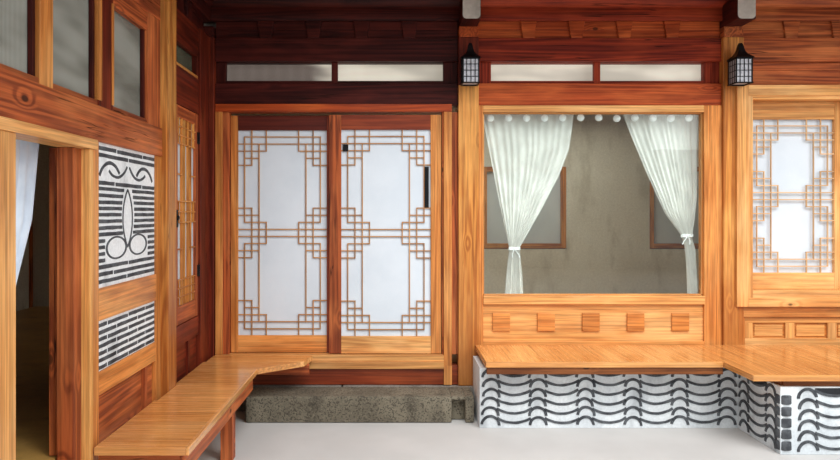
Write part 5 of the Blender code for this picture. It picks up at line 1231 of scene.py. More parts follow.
# %% Masonry materials
def rough_solid(name, colours, grit=90.0, rough=0.9, bump=0.4, cloud=2.2, spots=0.0,
                distance=0.003):
    """Cloudy light, middle and dark colours over grit; spots darkens scattered grains."""
    light, shade, dark = (rgb(*colour) for colour in colours)
    made, tree, shader = start_material(name, roughness=rough)
    place = object_place(tree)
    slow = noise(tree, place, cloud, 4.0, 0.6)
    fine = noise(tree, place, grit, 4.0, 0.65)
    colour = blend(tree, step(tree, slow, 0.36, 0.66), shade, light)
    stain = step(tree, noise(tree, place, 1.0, 4.0, stretch=(5.0, 5.0, 1.8)), 0.52, 0.74)
    colour = blend(tree, times(tree, stain, 0.7), colour, dark)
    if spots:
        grains = add_node(tree, "TexVoronoi", {"Vector": place, "Scale": grit * 1.6})
        pick = red_of(tree, grains.outputs["Color"])
        colour = blend(tree, times(tree, step(tree, pick, 0.72, 0.80), spots), colour, dark)
        colour = blend(tree, times(tree, step(tree, pick, 0.16, 0.10), spots * 0.6), colour,
                       light)
    colour = darken(tree, colour, calc(tree, "MULTIPLY_ADD", fine, 0.5, 0.75))
    height = calc(tree, "ADD", fine, times(tree, slow, 1.5))
    finish_surface(tree, shader, colour, height, bump, distance)
    return made


MORTAR = rough_solid("white_mortar", ((250, 253, 254), (238, 242, 244), (188, 192, 194)),
                     grit=70.0, bump=0.5)
SLATE = rough_solid("grey_tile_strip", ((92, 96, 100), (58, 61, 66), (34, 36, 40)),
                    grit=120.0, cloud=14.0, rough=0.75)
PLINTH = rough_solid("rough_plinth", ((132, 124, 106), (104, 97, 82), (62, 57, 48)),
                     grit=75.0, spots=0.75, bump=0.9, distance=0.006)
GRANITE = rough_solid("base_granite", ((150, 144, 134), (122, 117, 108), (84, 80, 74)),
                      grit=95.0, spots=0.5, bump=0.7, cloud=1.4, distance=0.005)
PLASTER = rough_solid("lime_plaster", ((236, 232, 220), (222, 216, 202), (190, 182, 166)),
                      grit=40.0, bump=0.25, cloud=0.9)
dress(MORTAR, "wing_masonry_panel")
print("masonry finishes made")

# %% [markdown]
# ## Patterned masonry on the wing
#
# The wall is a picture laid in tile strips: level stripes in broken bond frame a band
# of two mirrored vines and a tall almond with two rings at its foot. Level strips are
# blocks with uneven corners. Curved ones are a small four-sided profile spun around a
# centre, which makes a ring segment without working out its points.

# %% Strips and arcs on a wall
def plane(origin, along, out):
    """A wall's plane as columns: along it, up, out of it, origin."""
    return Matrix(((along[0], 0, out[0], origin[0]), (along[1], 0, out[1], origin[1]),
                   (0, 1, 0, origin[2]), (0, 0, 0, 1)))


def settle(bm, part, matrix):
    """Move a piece from a wall's plane to the plan and take it in."""
    bmesh.ops.transform(part, matrix=matrix, verts=part.verts)
    bmesh.ops.recalc_face_normals(part, faces=part.faces)
    take_in(bm, part)


def arc(bm, matrix, centre, radius, start, stop, width, out, steps=14, wobble=0.0):
    """A ring segment on a plane: degrees from the plane's first axis, out is (low, high)."""
    part = bmesh.new()
    corners = [part.verts.new((radius + du, 0.0, w)) for du, w in
               ((-width / 2, out[0]), (width / 2, out[0]), (width / 2 * 0.82, out[1]),
                (-width / 2 * 0.82, out[1]))]
    part.faces.new(corners)
    bmesh.ops.rotate(part, cent=(0, 0, 0), matrix=Matrix.Rotation(math.radians(start), 3, "Z"),
                     verts=part.verts)
    bmesh.ops.spin(part, geom=part.faces[:] + part.edges[:] + part.verts[:], cent=(0, 0, 0),
                   axis=(0, 0, 1), angle=math.radians(stop - start), steps=steps,
                   use_merge=False)
    if wobble:
        shift = dice.uniform(0, 60)
        for vert in part.verts:
            push = soft_noise.noise(Vector((vert.co.x * 22 + shift, vert.co.y * 22, 0)))
            vert.co.x += wobble * push
            push = soft_noise.noise(Vector((vert.co.y * 25 + shift, vert.co.x * 20, 3)))
            vert.co.y += wobble * push
    bmesh.ops.translate(part, vec=(centre[0], centre[1], 0.0), verts=part.verts)
    settle(bm, part, matrix)


def strip(bm, matrix, start, stop, z, tall, out, rough=0.0015):
    """A level tile strip with slightly uneven corners."""
    part = bmesh.new()
    bmesh.ops.create_cube(part, size=1.0)
    bmesh.ops.scale(part, vec=(stop - start, tall, out[1] - out[0]), verts=part.verts)
    bmesh.ops.translate(part, vec=((start + stop) / 2, z, sum(out) / 2), verts=part.verts)
    long_edges = [e for e in part.edges
                  if abs(e.verts[0].co.x - e.verts[1].co.x) > (stop - start) * 0.9]
    bmesh.ops.subdivide_edges(part, edges=long_edges, cuts=4, use_grid_fill=True)
    for vert in part.verts:
        vert.co.y += dice.uniform(-rough, rough)
        vert.co.x += dice.uniform(-rough, rough)
    front = [e for e in part.edges if all(v.co.z > out[1] - 0.0005 for v in e.verts)
             and len(e.link_faces) == 2
             and not all(f.normal.z > 0.9 for f in e.link_faces)]
    part.normal_update()
    soften(part, front, 0.0012, 1)
    settle(bm, part, matrix)


def arc_through(bm, matrix, points, width, out, **more):
    """The ring segment through three points of a plane."""
    (x1, y1), (x2, y2), (x3, y3) = points
    turn = 2 * (x1 * (y2 - y3) + x2 * (y3 - y1) + x3 * (y1 - y2))
    s1, s2, s3 = (x * x + y * y for x, y in points)
    centre = ((s1 * (y2 - y3) + s2 * (y3 - y1) + s3 * (y1 - y2)) / turn,
              (s1 * (x3 - x2) + s2 * (x1 - x3) + s3 * (x2 - x1)) / turn)
    angles = [math.degrees(math.atan2(y - centre[1], x - centre[0])) for x, y in points]
    sweep = (angles[2] - angles[0]) % 360
    if (angles[1] - angles[0]) % 360 > sweep:
        sweep -= 360
    radius = math.hypot(x1 - centre[0], y1 - centre[1])
    arc(bm, matrix, centre, radius, angles[0], angles[0] + sweep, width, out, **more)


# %% [markdown]
# ## The picture in tile strips
#
# Stripes above and below, then the two vines as arcs through three points each, their
# mirror images, the almond and its rings. The rows beside the almond stop at its edge.

# %% The picture
bm = bmesh.new()
wing_plane = plane((CORNER_X + 0.033, 0.0, 0.0), (0, -1), (1, 0))
RAISE = (-0.0105, -0.0070)
EDGES = (1.2263, 2.0437)


def stripe_row(bm, z, breaks=(), low=EDGES[0], high=EDGES[1], tall=0.020, gap=0.008):
    """One level row between low and high, broken at the given places."""
    marks = [low, *breaks, high]
    for start, stop in zip(marks, marks[1:]):
        tilt = dice.uniform(-0.0012, 0.0012)
        strip(bm, wing_plane, start + (gap if start != low else 0.002),
              stop - (gap if stop != high else 0.002), z + tilt, tall, RAISE)


for z, breaks in ((1.922, (1.424, 1.800)), (1.886, (1.637,)), (1.743, (1.435, 1.8215)),
                  (1.308, (1.638,)), (1.271, (1.843,)), (1.235, (1.660,))):
    stripe_row(bm, z, breaks)
MIDDLE = 1.640
for mirror in (1, -1):
    for vine, width in ((((2.016, 1.781), (1.899, 1.852), (1.764, 1.803)), 0.019),
                        (((1.899, 1.811), (1.794, 1.7815), (1.657, 1.846)), 0.016)):
        points = [(MIDDLE + mirror * (a - MIDDLE), z) for a, z in vine]
        arc_through(bm, wing_plane, points, width, RAISE, steps=22, wobble=0.002)

# The almond: two shallow arcs that meet at the top and the foot
ALMOND = 1.648
for reach in (-0.068, 0.068):
    arc_through(bm, wing_plane, ((ALMOND, 1.719), (ALMOND + reach, 1.558), (ALMOND, 1.398)),
                0.0125, RAISE, steps=26, wobble=0.001)
for row in range(12):
    inner = 0.300 if row >= 8 else 0.052 + 0.034 * math.sin(math.pi * min(row, 7) / 8)
    for low, high in ((EDGES[0], ALMOND - inner - 0.012), (ALMOND + inner, EDGES[1])):
        if high - low > 0.03:
            stripe_row(bm, 1.7125 - row * 0.0336, (), low, high, 0.0185)
for a, z in ((1.799, 1.401), (1.490, 1.405)):
    ring = bmesh.new()
    arc(ring, Matrix.Identity(4), (0.0, 0.0), 0.058, 0, 360, 0.0095, RAISE, steps=40)
    bmesh.ops.remove_doubles(ring, verts=ring.verts, dist=1e-5)
    bmesh.ops.scale(ring, vec=(2.22, 1.0, 1.0), verts=ring.verts)
    settle(bm, ring, wing_plane @ Matrix.Translation((a, z, 0.0)))
piece(bm, "patterned_strips", SLATE)

bm = bmesh.new()
for row in range(7):
    breaks = (1.50, 1.80) if row % 2 else (1.38, 1.64, 1.92)
    stripe_row(bm, 1.013 - row * 0.0363, breaks, tall=0.019)
piece(bm, "patterned_strips_low", SLATE)

# %% [markdown]
# ## Walls of tile edges
#
# Under the front benches the masonry shows roof tiles end on: half rounds in columns,
# joined by sagging arcs, row over row like waves. Every tile is one spun segment; the
# half round is one size, and the sagging one is fitted to the gap between two of them.
# A dark moon under the bench fills each gap at the top: a painted shadow of the bench.

# %% Waves of tile ends
ROUND = 0.061
WAVE_PITCH = 0.349
ROW = 0.0695
FOOT, WAVE_TOP = 0.022, 0.4372
SAG = 0.036
SHADOW = rough_solid("shadow_between_tiles", ((44, 46, 50), (30, 32, 36), (16, 17, 20)),
                     grit=60.0)
# A greyer copy of the mortar for the walls under the benches: painted shade.
SHADED_MORTAR = rough_solid("mortar_in_painted_shade", ((230, 236, 238), (206, 213, 217), (150, 156, 160)),
                          grit=60.0, bump=0.5)
dress(SHADED_MORTAR, "centre_tile_wall", "right_tile_wall")


def slice_at(part, point, normal, clear=False):
    """Cut a mesh along a plane; clear removes what lies on the normal's side."""
    return bmesh.ops.bisect_plane(part, geom=everything(part), dist=1e-5, plane_co=point,
                                  plane_no=normal, clear_outer=clear)["geom_cut"]


def cut(part, point, normal):
    """Remove what lies on the normal's side of a plane and close the cut."""
    rim = [g for g in slice_at(part, point, normal, True) if isinstance(g, bmesh.types.BMEdge)]
    if rim:
        bmesh.ops.holes_fill(part, edges=rim, sides=0)


def take_rest(bm, part):
    """Take in what a cut has left, if it has left anything."""
    if part.faces:
        take_in(bm, part)
    else:
        part.free()


def tile_waves(bm, matrix, first, stop, rows=6, out=(-0.002, 0.006)):
    """Columns from first to stop along a plane; rows upwards; each tile a bit uneven."""
    u = first
    while u < stop:
        joined = u + WAVE_PITCH * 0.6 < stop
        lean = dice.uniform(-5, 5)
        for row in range(rows):
            z = FOOT + row * ROW + dice.uniform(-0.003, 0.003)
            x = u + dice.uniform(-0.005, 0.005)
            size = ROUND * dice.uniform(0.95, 1.05)
            arc(bm, matrix, (x, z), size, 2 + lean, 178 + lean, 0.0215, out, 16, 0.003)
            if joined:
                ends = [x + 0.048, u + WAVE_PITCH - 0.048 + dice.uniform(-0.006, 0.006)]
                heights = [z + 0.052 + dice.uniform(-0.003, 0.004) for _ in ends]
                low = z + 0.016 + dice.uniform(-0.002, 0.003)
                arc_through(bm, matrix, ((ends[0], heights[0]), (sum(ends) / 2, low),
                                         (ends[1], heights[1])), 0.0195, out, steps=16,
                            wobble=0.003)
        if joined:
            # The moon is a painted shadow under the bench.
            chord = WAVE_PITCH / 2 - 0.052
            radius = (chord ** 2 + SAG ** 2) / (2 * SAG)
            z = FOOT + (rows - 1) * ROW + 0.055 - SAG + radius
            moon = bmesh.new()
            bmesh.ops.create_circle(moon, cap_ends=True, segments=96, radius=radius,
                                    matrix=Matrix.Translation((u + WAVE_PITCH / 2, z, 0.0)))
            for point, normal in (((0, WAVE_TOP, 0), (0, 1, 0)), ((u + 0.045, 0, 0), (-1, 0, 0)),
                                  ((u + WAVE_PITCH - 0.045, 0, 0), (1, 0, 0))):
                slice_at(moon, point, normal, True)
            bmesh.ops.transform(moon, verts=moon.verts,
                                matrix=matrix @ Matrix.Translation((0, 0, out[1] - 0.003)))
            take_in(bm, moon, 1)
        u += WAVE_PITCH


bm = bmesh.new()
tile_waves(bm, plane((0.0, -0.47, 0.0), (1, 0), (0, -1)), 0.722, 2.50)
tile_waves(bm, plane((0.0, -1.02, 0.0), (1, 0), (0, -1)), 2.73, 4.74)
tile_waves(bm, plane((2.5468, 0.0, 0.0), (0, -1), (-1, 0)), 0.56, 0.98)
tile_waves(bm, plane((4.7845, 0.0, 0.0), (0, -1), (1, 0)), 0.14, 0.98, out=(-0.002, 0.004))
piece(bm, "tile_wall_waves", [SLATE, SHADOW])

# The corner is stacked from the ends of cover tiles
bm = bmesh.new()
for row in range(5):
    part = bmesh.new()
    bmesh.ops.create_cone(part, cap_ends=True, segments=24, radius1=0.050, radius2=0.050,
                          depth=0.061)
    rim = [e for e in part.edges if abs(e.verts[0].co.z - e.verts[1].co.z) < 1e-5
           and len(e.link_faces) == 2]
    soften(part, rim, 0.008, 3)
    turn = Matrix.Rotation(math.radians(dice.uniform(-4, 4)), 4, "X")
    bmesh.ops.transform(part, matrix=Matrix.Translation((2.586, -0.984, 0.055 + row * 0.076))
                        @ turn, verts=part.verts)
    take_in(bm, part)
piece(bm, "tile_wall_corner", SLATE, smooth=40)

# %% [markdown]
# ## Benches
#
# Plank benches run along the walls under a glossy amber varnish. Their boards lie
# across the bench, about 0.42 m wide and closely joined, and a narrow nosing closes
# their ends along the front. Where the bench has a slanted corner, the boards are cut
# by a plane. Rails and short legs below carry them.

# %% Bench boards
JOINT = 0.0008
LEFT_Z = (0.404, 0.444)
FRONT_Z = (0.489, 0.529)


def cut_board(bm, x, y, z, planes):
    """A board trimmed by planes given as (point, normal); the normal side is removed."""
    part = begin()
    board(part, x, y, z, ease=0.0015, axis=0)
    for point, normal in planes:
        cut(part, point, normal)
    take_rest(bm, part)


def ranges(low, high, wide=0.42):
    """Glued-up boards side by side between two places."""
    count = max(1, round((high - low) / wide))
    share = (high - low) / count
    return [(low + number * share + JOINT / 2, low + number * share + share - JOINT / 2)
            for number in range(count)]


bm = begin()
for y0, y1 in ranges(-2.17, -0.50):
    start = -1.4402 if y1 > -1.1328 and y0 < -0.9672 else -1.459
    board(bm, (start, -1.012), (y0, y1), LEFT_Z, axis=0, ease=0.002)
board(bm, (-1.0116, -0.996), (-2.17, -0.50), LEFT_Z, axis=1, ease=0.003)
CORNER_CUTS = (((-0.996, -0.50, 0.0), (0.30, -0.366, 0.0)),
               ((-0.678, -0.20, 0.0), (0.1647, -0.03, 0.0)))
for y0, y1 in ranges(-0.50, -0.0353, 0.24):
    start = -1.4402 if y1 > -0.06 else -1.459
    cut_board(bm, (start, -0.58), (y0, y1), LEFT_Z, CORNER_CUTS)
low = LEFT_Z[0]
board(bm, (-1.051, -1.026), (-2.14, -0.52), (low - 0.11, low), mat=1)
board(bm, (-1.449, -1.051), (-2.14, -2.115), (low - 0.11, low), mat=1)
for along in (2.05, 1.10):
    board(bm, (-1.106, -1.027), around(-along, 0.08), (0.0003, low), mat=1, ease=0.004)
board(bm, (-1.43, -0.66), (-0.16, -0.135), (low - 0.085, low), mat=1, ease=0.0015)
piece(bm, "left_bench_boards", [AMBER, BROWN], replaces=("left_bench",))

bm = begin()
for low, high, front in ((0.66, 2.35, -0.66), (2.35, 4.7842, -1.056)):
    for x0, x1 in ranges(low, high):
        board(bm, (x0, x1), (front + 0.0164, -0.0328), FRONT_Z, axis=1, ease=0.002)
    board(bm, (low, high), (front, front + 0.016), FRONT_Z, axis=0, ease=0.003)
for x, y, z in (((0.668, 2.352), (-0.648, -0.622), (0.438, 0.489)),
                ((0.70, 2.587), (-0.4525, -0.4275), (0.4453, 0.489)),
                ((2.5645, 2.5895), (-0.99, -0.44), (0.4456, 0.489)),
                ((2.577, 4.774), (-1.0025, -0.9775), (0.4453, 0.489))):
    board(bm, x, y, z, mat=1, ease=0.003)
piece(bm, "front_bench_boards", [AMBER, APRON], replaces=("front_bench",))

# %% [markdown]
# ## Lanterns
#
# Two wrought-iron lanterns hang on the posts: a cage of thin bars around frosted
# glass, under a roof that sweeps up to a ring. The roof is a four-sided cone, cut into
# rings that are drawn in to give the sweep.

# %% Lanterns
FROST, tree, shader = start_material("frosted_pane", roughness=0.3)
frost = noise(tree, object_place(tree), 60.0, 3.0)
colour = blend(tree, step(tree, frost, 0.3, 0.7), rgb(176, 178, 186), rgb(206, 206, 210))
finish_surface(tree, shader, colour, frost, 0.3, 0.001)
LAMP_Y = -(0.0325 + 0.03 + 0.145 / 2)
HALF = 0.066


def along_line(start, end, up="Y"):
    """The matrix that lays a stick's own z along a line, and the line's length."""
    start, end = Vector(start), Vector(end)
    turn = (end - start).to_track_quat("Z", up).to_matrix().to_4x4()
    return Matrix.Translation((start + end) / 2) @ turn, (end - start).length


def cage_bars(bm, x, shift, wide, away, thick, z, ease):
    """Four bars, one on each side of the cage."""
    for s in (-1, 1):
        board(bm, around(x + shift, wide), around(LAMP_Y + s * away, thick), z, ease=ease)
        board(bm, around(x + s * away, thick), around(LAMP_Y + shift, wide), z, ease=ease)


def lantern(name, x):
    bm = begin()
    board(bm, around(x, 2 * HALF - 0.012), around(LAMP_Y, 2 * HALF - 0.012), (2.612, 2.79),
          ease=0.001, mat=1)
    for sx in (-1, 1):
        for sy in (-1, 1):
            board(bm, around(x + sx * (HALF - 0.005), 0.010),
                  around(LAMP_Y + sy * (HALF - 0.005), 0.010), (2.602, 2.80), ease=0.002)
    for z in (2.606, 2.797):
        cage_bars(bm, x, 0, 2 * HALF + 0.006, HALF - 0.003, 0.012, around(z, 0.010), 0.002)
    for share in (-0.5, 0.0, 0.5):
        cage_bars(bm, x, share * HALF, 0.005, HALF - 0.002, 0.005, (2.606, 2.797), 0.001)
    for z in (2.654, 2.702, 2.750):
        cage_bars(bm, x, 0, 2 * HALF - 0.01, HALF - 0.0025, 0.004, around(z, 0.005), 0.001)
    hood = bmesh.new()
    tall = 0.125
    bmesh.ops.create_cone(hood, cap_ends=True, segments=4, radius1=0.109, radius2=0.014,
                          depth=tall, matrix=Matrix.Rotation(math.radians(45), 4, "Z"))
    sides = [e for e in hood.edges if abs(e.verts[0].co.z - e.verts[1].co.z) > 0.1]
    bmesh.ops.subdivide_edges(hood, edges=sides, cuts=6)
    for vert in hood.verts:
        rise = vert.co.z / tall + 0.5
        if 0.01 < rise < 0.99:
            pull = 1.0 - 0.40 * math.sin(rise * math.pi) ** 1.1
            vert.co.x *= pull
            vert.co.y *= pull
    bmesh.ops.translate(hood, vec=(x, LAMP_Y, 2.802 + tall / 2), verts=hood.verts)
    take_in(bm, hood)
    ring = bmesh.new()
    upright = Matrix.Rotation(math.radians(90), 4, "X")
    circle = bmesh.ops.create_circle(ring, segments=8, radius=0.0022,
                                     matrix=Matrix.Translation((0.008, 0, 0)) @ upright)["verts"]
    bmesh.ops.spin(ring, geom=circle + ring.edges[:], cent=(0, 0, 0), axis=(0, 0, 1),
                   angle=2 * math.pi, steps=20, use_merge=True)
    bmesh.ops.recalc_face_normals(ring, faces=ring.faces)
    bmesh.ops.transform(ring, matrix=Matrix.Translation((x, LAMP_Y, 2.9185)) @ upright
                        @ Matrix.Scale(0.75, 4, (0, 1, 0)), verts=ring.verts)
    take_in(bm, ring)
    for y, low, high, radius in ((-0.034, 2.72, 2.72, 0.006), (-0.036, 2.685, 2.702, 0.004)):
        matrix, length = along_line((x, y, low), (x, LAMP_Y + HALF - 0.004, high), "X")
        cylinder(bm, matrix, radius, length, 10)
    board(bm, around(x, 0.05), (-0.0385, -0.0328), (2.66, 2.78), ease=0.002)
    piece(bm, name + "_iron", [IRON, FROST], replaces=(name,))


lantern("left_lantern", POST_A_X)
lantern("right_lantern", POST_B_X)

# %% [markdown]
# ## The stone base
#
# Long hewn edge stones hold the filled ground under the house. Each is a block with
# rounded arrises and a slightly wavy face; a plain fill lies behind them. The step in
# front of the doors is one rough block with a narrow air slot.

# %% Base stones
def hewn(bm, x, y, z, cell=0.09, wave=0.006):
    """A block subdivided evenly and pushed in by noise, never out of its ranges."""
    part = begin()
    board(part, x, y, z, ease=0.012)
    for axis, (low, high) in enumerate((x, y, z)):
        cuts = int((high - low) / cell)
        for number in range(1, cuts + 1):
            point, normal = [0.0, 0.0, 0.0], [0.0, 0.0, 0.0]
            point[axis] = low + (high - low) * number / (cuts + 1)
            normal[axis] = 1.0
            slice_at(part, point, normal)
    part.normal_update()
    moves = {}
    for vert in part.verts:
        if vert.co.z > z[0] + 0.004:
            lump = 0.5 + 0.5 * soft_noise.noise(vert.co * 9.0)
            lump += 0.3 * soft_noise.noise(vert.co * 31.0)
            moves[vert] = vert.normal * (-wave * max(0.0, lump))
    for vert, move in moves.items():
        vert.co += move
    take_in(bm, part)


def stone_row(bm, x, y, z, along, longest=1.15):
    """Edge stones of uneven length filling one range along x (0) or y (1)."""
    place, high = (x, y)[along]
    while place < high - 0.02:
        reach = min(place + longest * dice.uniform(0.65, 1.0), high)
        if high - reach < 0.35:
            reach = high
        span = (place + 0.002, reach - 0.002)
        hewn(bm, span if along == 0 else x, span if along == 1 else y, z)
        place = reach


WEST, EAST, NORTH = -4.8055, 4.9995, 3.3325
YARD_X, YARD_Y, SOUTH = -1.4305, -0.05, -3.2825
DEEP = 0.22
bm = begin()
for x, y, along in (((WEST, EAST), (NORTH - DEEP, NORTH), 0),
                    ((-1.36, EAST), (YARD_Y, YARD_Y + DEEP), 0),
                    ((EAST - DEEP, EAST), (YARD_Y + DEEP, NORTH - DEEP), 1),
                    ((WEST, WEST + DEEP), (SOUTH, NORTH - DEEP), 1),
                    ((WEST + DEEP, YARD_X), (SOUTH, SOUTH + DEEP), 0),
                    ((YARD_X - DEEP, YARD_X), (SOUTH + DEEP, -0.0503), 1)):
    stone_row(bm, x, y, (0.0, 0.1995), along)
for x, y, top in (((WEST + DEEP, EAST - DEEP), (YARD_Y + DEEP, NORTH - DEEP), 0.185),
                  ((WEST + DEEP, YARD_X - DEEP), (SOUTH + DEEP, YARD_Y + DEEP), 0.184),
                  ((-1.65, -1.36), (-0.0503, YARD_Y + DEEP), 0.186)):
    board(bm, x, y, (0.0, top), ease=0.002)
piece(bm, "base_edge_stones", GRANITE, replaces=("main_stone_base", "wing_stone_base"),
      smooth=50)

bm = begin()
for x, y, z, wave in (((-1.12, 0.446), (-0.35, -0.0503), (0.0, 0.2), 0.005),
                      ((0.545, 0.616), (-0.35, -0.0503), (0.0, 0.2), 0.005),
                      ((0.440, 0.550), (-0.27, -0.0503), (0.0, 0.199), 0.003),
                      ((0.440, 0.550), (-0.349, -0.269), (0.172, 0.1995), 0.002)):
    hewn(bm, x, y, z, cell=0.07, wave=wave)
piece(bm, "door_step_stone", PLINTH, replaces=("door_step",), smooth=50)

dress(rough_solid("oiled_floor_paper", ((206, 164, 92), (186, 142, 74), (150, 108, 52)),
                  grit=30.0, rough=0.35, bump=0.1, cloud=1.5), "main_floor", "wing_floor")
print("base and floors dressed")

# %% [markdown]
# ## The walls away from the courtyard
#
# The photograph doesn't show them, so they repeat what it does show: posts, rails and
# lime plaster, with small paper windows. Their lattices are the plainest kind, level and
# upright bars at even distances. In the table a w marks a stretch with a window.

# %% Outer walls
dress(PLASTER, "main_back_wall", "main_end_wall", "wing_outer_wall", "wing_end_wall")
OUTER_TOP = 3.0894
MID_BACK_X = (WING_X + CORNER_X) / 2
OUTER_SIDES = (
    ("back", (WING_X, MID_BACK_X, CORNER_X, POST_A_X, POST_B_X, END_X), "-wwww"),
    ("end", (COURT_ROW_Y, RIDGE_Y, BACK_ROW_Y), "-w"),
    ("wing_outer", (WING_END_Y, WING_POST_Y, COURT_ROW_Y, RIDGE_Y, BACK_ROW_Y), "w-ww"),
    ("wing_end", (WING_X, MID_BACK_X, CORNER_X), "ww"),
)


def paper_window(bm, side, middle):
    """A small framed lattice, seven lights wide and six high, with its paper."""
    inner, field = frame_of_four(bm, side, around(middle, 1.07), (-0.09, 0.010), (1.14, 2.18),
                                 (0.06, 0.06), 0.06, 0.06, (1, 1, 1, 1))
    wide, tall = inner[1] - inner[0], field[1] - field[0]
    bars = [((wide * n / 7, 0.0), (wide * n / 7, tall)) for n in range(1, 7)]
    bars += [((0.0, tall * n / 6), (wide, tall * n / 6)) for n in range(1, 6)]
    lay_lattice(bm, side, bars, (inner[0], field[0]), (-0.0255, -0.010), 0.012, mat=2)
    wall_board(bm, side, (inner[0] - 0.01, inner[1] + 0.01), (-0.029, -0.026),
               (field[0] - 0.01, field[1] + 0.01), ease=0.0, mat=3)


bm = begin()
for x, y in ((WING_X, BACK_ROW_Y), (END_X, BACK_ROW_Y), (WING_X, WING_END_Y)):
    post(bm, x, y, OUTER_TOP)
for side, lines, windows in OUTER_SIDES:
    low = lines[0] + (POST / 2 + 0.001 if side == "end" else 0.0)
    high = lines[-1] - (POST / 2 + 0.001 if side == "wing_end" else 0.0)
    for z in ((0.2006, 0.335), (1.02, 1.14), LINTEL, (HEAD[1] - 0.189, 3.089)):
        for start, stop in zip(lines, lines[1:]):
            wall_board(bm, side, (max(start, low), min(stop, high)), (-0.0295, 0.0), z,
                       ease=0.004)
    for along in lines[1:-1]:
        wall_board(bm, side, around(along, POST), (-0.029, 0.0325), (0.2009, OUTER_TOP),
                   ease=0.005)
    for start, stop, mark in zip(lines, lines[1:], windows):
        if mark == "w":
            paper_window(bm, side, (start + stop) / 2)
piece(bm, "outer_posts_and_windows", [BROWN, HONEY, LATTICE, PAPER],
      replaces=("outer_timber_frame",))

# %% [markdown]
# ## Working on a roof
#
# Each range has a ridge, and two slopes that fall away from it. A piece of a roof is
# drawn along the ridge (s) and across it (u), and one matrix moves it to the plan. A
# height table says where rafters, boards and tiles lie. Shearing a level board by that
# table lays it on the slope, which saves all the angles.

# %% Roof helpers
EAVE, VERGE = 0.95, 0.60
HALF_SPAN = SPAN / 2
HALF_ROOF = HALF_SPAN + EAVE
SLOPE = 0.40
RANGES = {
    "main": (Matrix.Translation((RIDGE_X, RIDGE_Y, 0.0)), END_X - RIDGE_X,
             [x - RIDGE_X for x in POST_LINES]),
    "wing": (Matrix(((0, -1, 0, RIDGE_X), (-1, 0, 0, RIDGE_Y), (0, 0, 1, 0), (0, 0, 0, 1))),
             RIDGE_Y - WING_END_Y, [RIDGE_Y - y for y in (COURT_ROW_Y, WING_POST_Y, WING_END_Y)]),
}


def rafter_foot(u):
    return 3.4276 + (HALF_SPAN - abs(u)) * SLOPE


def deck_foot(u):
    return rafter_foot(u) + 0.1065


def roof_top(u):
    """The tiles' highest points, hollow towards the eaves."""
    share = 1.0 - abs(u) / HALF_ROOF
    eave, ridge = deck_foot(HALF_ROOF) + 0.1903, deck_foot(0.0) + 0.4303
    return eave + (ridge - eave) * (0.72 * share + 0.28 * share * share)


def mitre(part):
    """Cut at the upright plane where the two ranges meet."""
    cut(part, (0.0005, 0.0, 0.0), (-1.0, -1.0, 0.0))


def round_timber(bm, start, end, radius, sides=20, mitred=False, mat=0):
    """A peeled log between two points, its grain along it."""
    matrix, length = along_line(start, end)
    part = begin()
    bmesh.ops.create_cone(part, cap_ends=True, segments=sides, radius1=radius, radius2=radius,
                          depth=length)
    mark_grain(part, 2, Vector((0.0, 0.0, 0.0)))
    bmesh.ops.transform(part, matrix=matrix, verts=part.verts)
    if mitred:
        mitre(part)
    take_in(bm, part, mat)


def laid_board(bm, s, u, z, height, mitred=False, **more):
    """A level board sheared onto the slope: height(u) is added to every point."""
    part = begin()
    board(part, s, u, z, **more)
    for vert in part.verts:
        vert.co.z += height(vert.co.y)
    if mitred:
        mitre(part)
    take_rest(bm, part)


def to_plan(part, which):
    """Move a range's piece to the plan; the wing's is mirrored, so turn its faces."""
    bmesh.ops.transform(part, matrix=RANGES[which][0], verts=part.verts)
    if which == "wing":
        bmesh.ops.reverse_faces(part, faces=part.faces)


print("ranges:", [(key, round(value[1], 3)) for key, value in RANGES.items()])

# %% [markdown]
# ## The roof's timbers
#
# Squared beams cross the house at every post line and carry a king post. Three round
# purlins lie on them, jointed over the posts, so every length has its own grain. Round
# rafters run from the ridge to the eaves under a deck of boards.

# %% Beams and purlins
PURLIN_Z = 3.3303
RIDGE_PURLIN_Z = PURLIN_Z + HALF_SPAN * SLOPE
TIP = HALF_ROOF - 0.10
LIMEWASH = rough_solid("limewashed_end", ((216, 214, 204), (194, 190, 180), (150, 146, 136)),
                       grit=30.0, bump=0.15)


def limewashed_end(bm, s, y):
    """A painted face on the end of a beam, its two lower corners rounded."""
    part = bmesh.new()
    bmesh.ops.create_cube(part, size=1.0)
    bmesh.ops.scale(part, vec=(0.137, 0.003, 0.172), verts=part.verts)
    low = [e for e in part.edges if all(v.co.z < 0 for v in e.verts)
           and abs(e.verts[0].co.y - e.verts[1].co.y) > 0.001]
    soften(part, low, 0.030, 5)
    bmesh.ops.translate(part, vec=(s, y, 3.18), verts=part.verts)
    take_in(bm, part, 3)


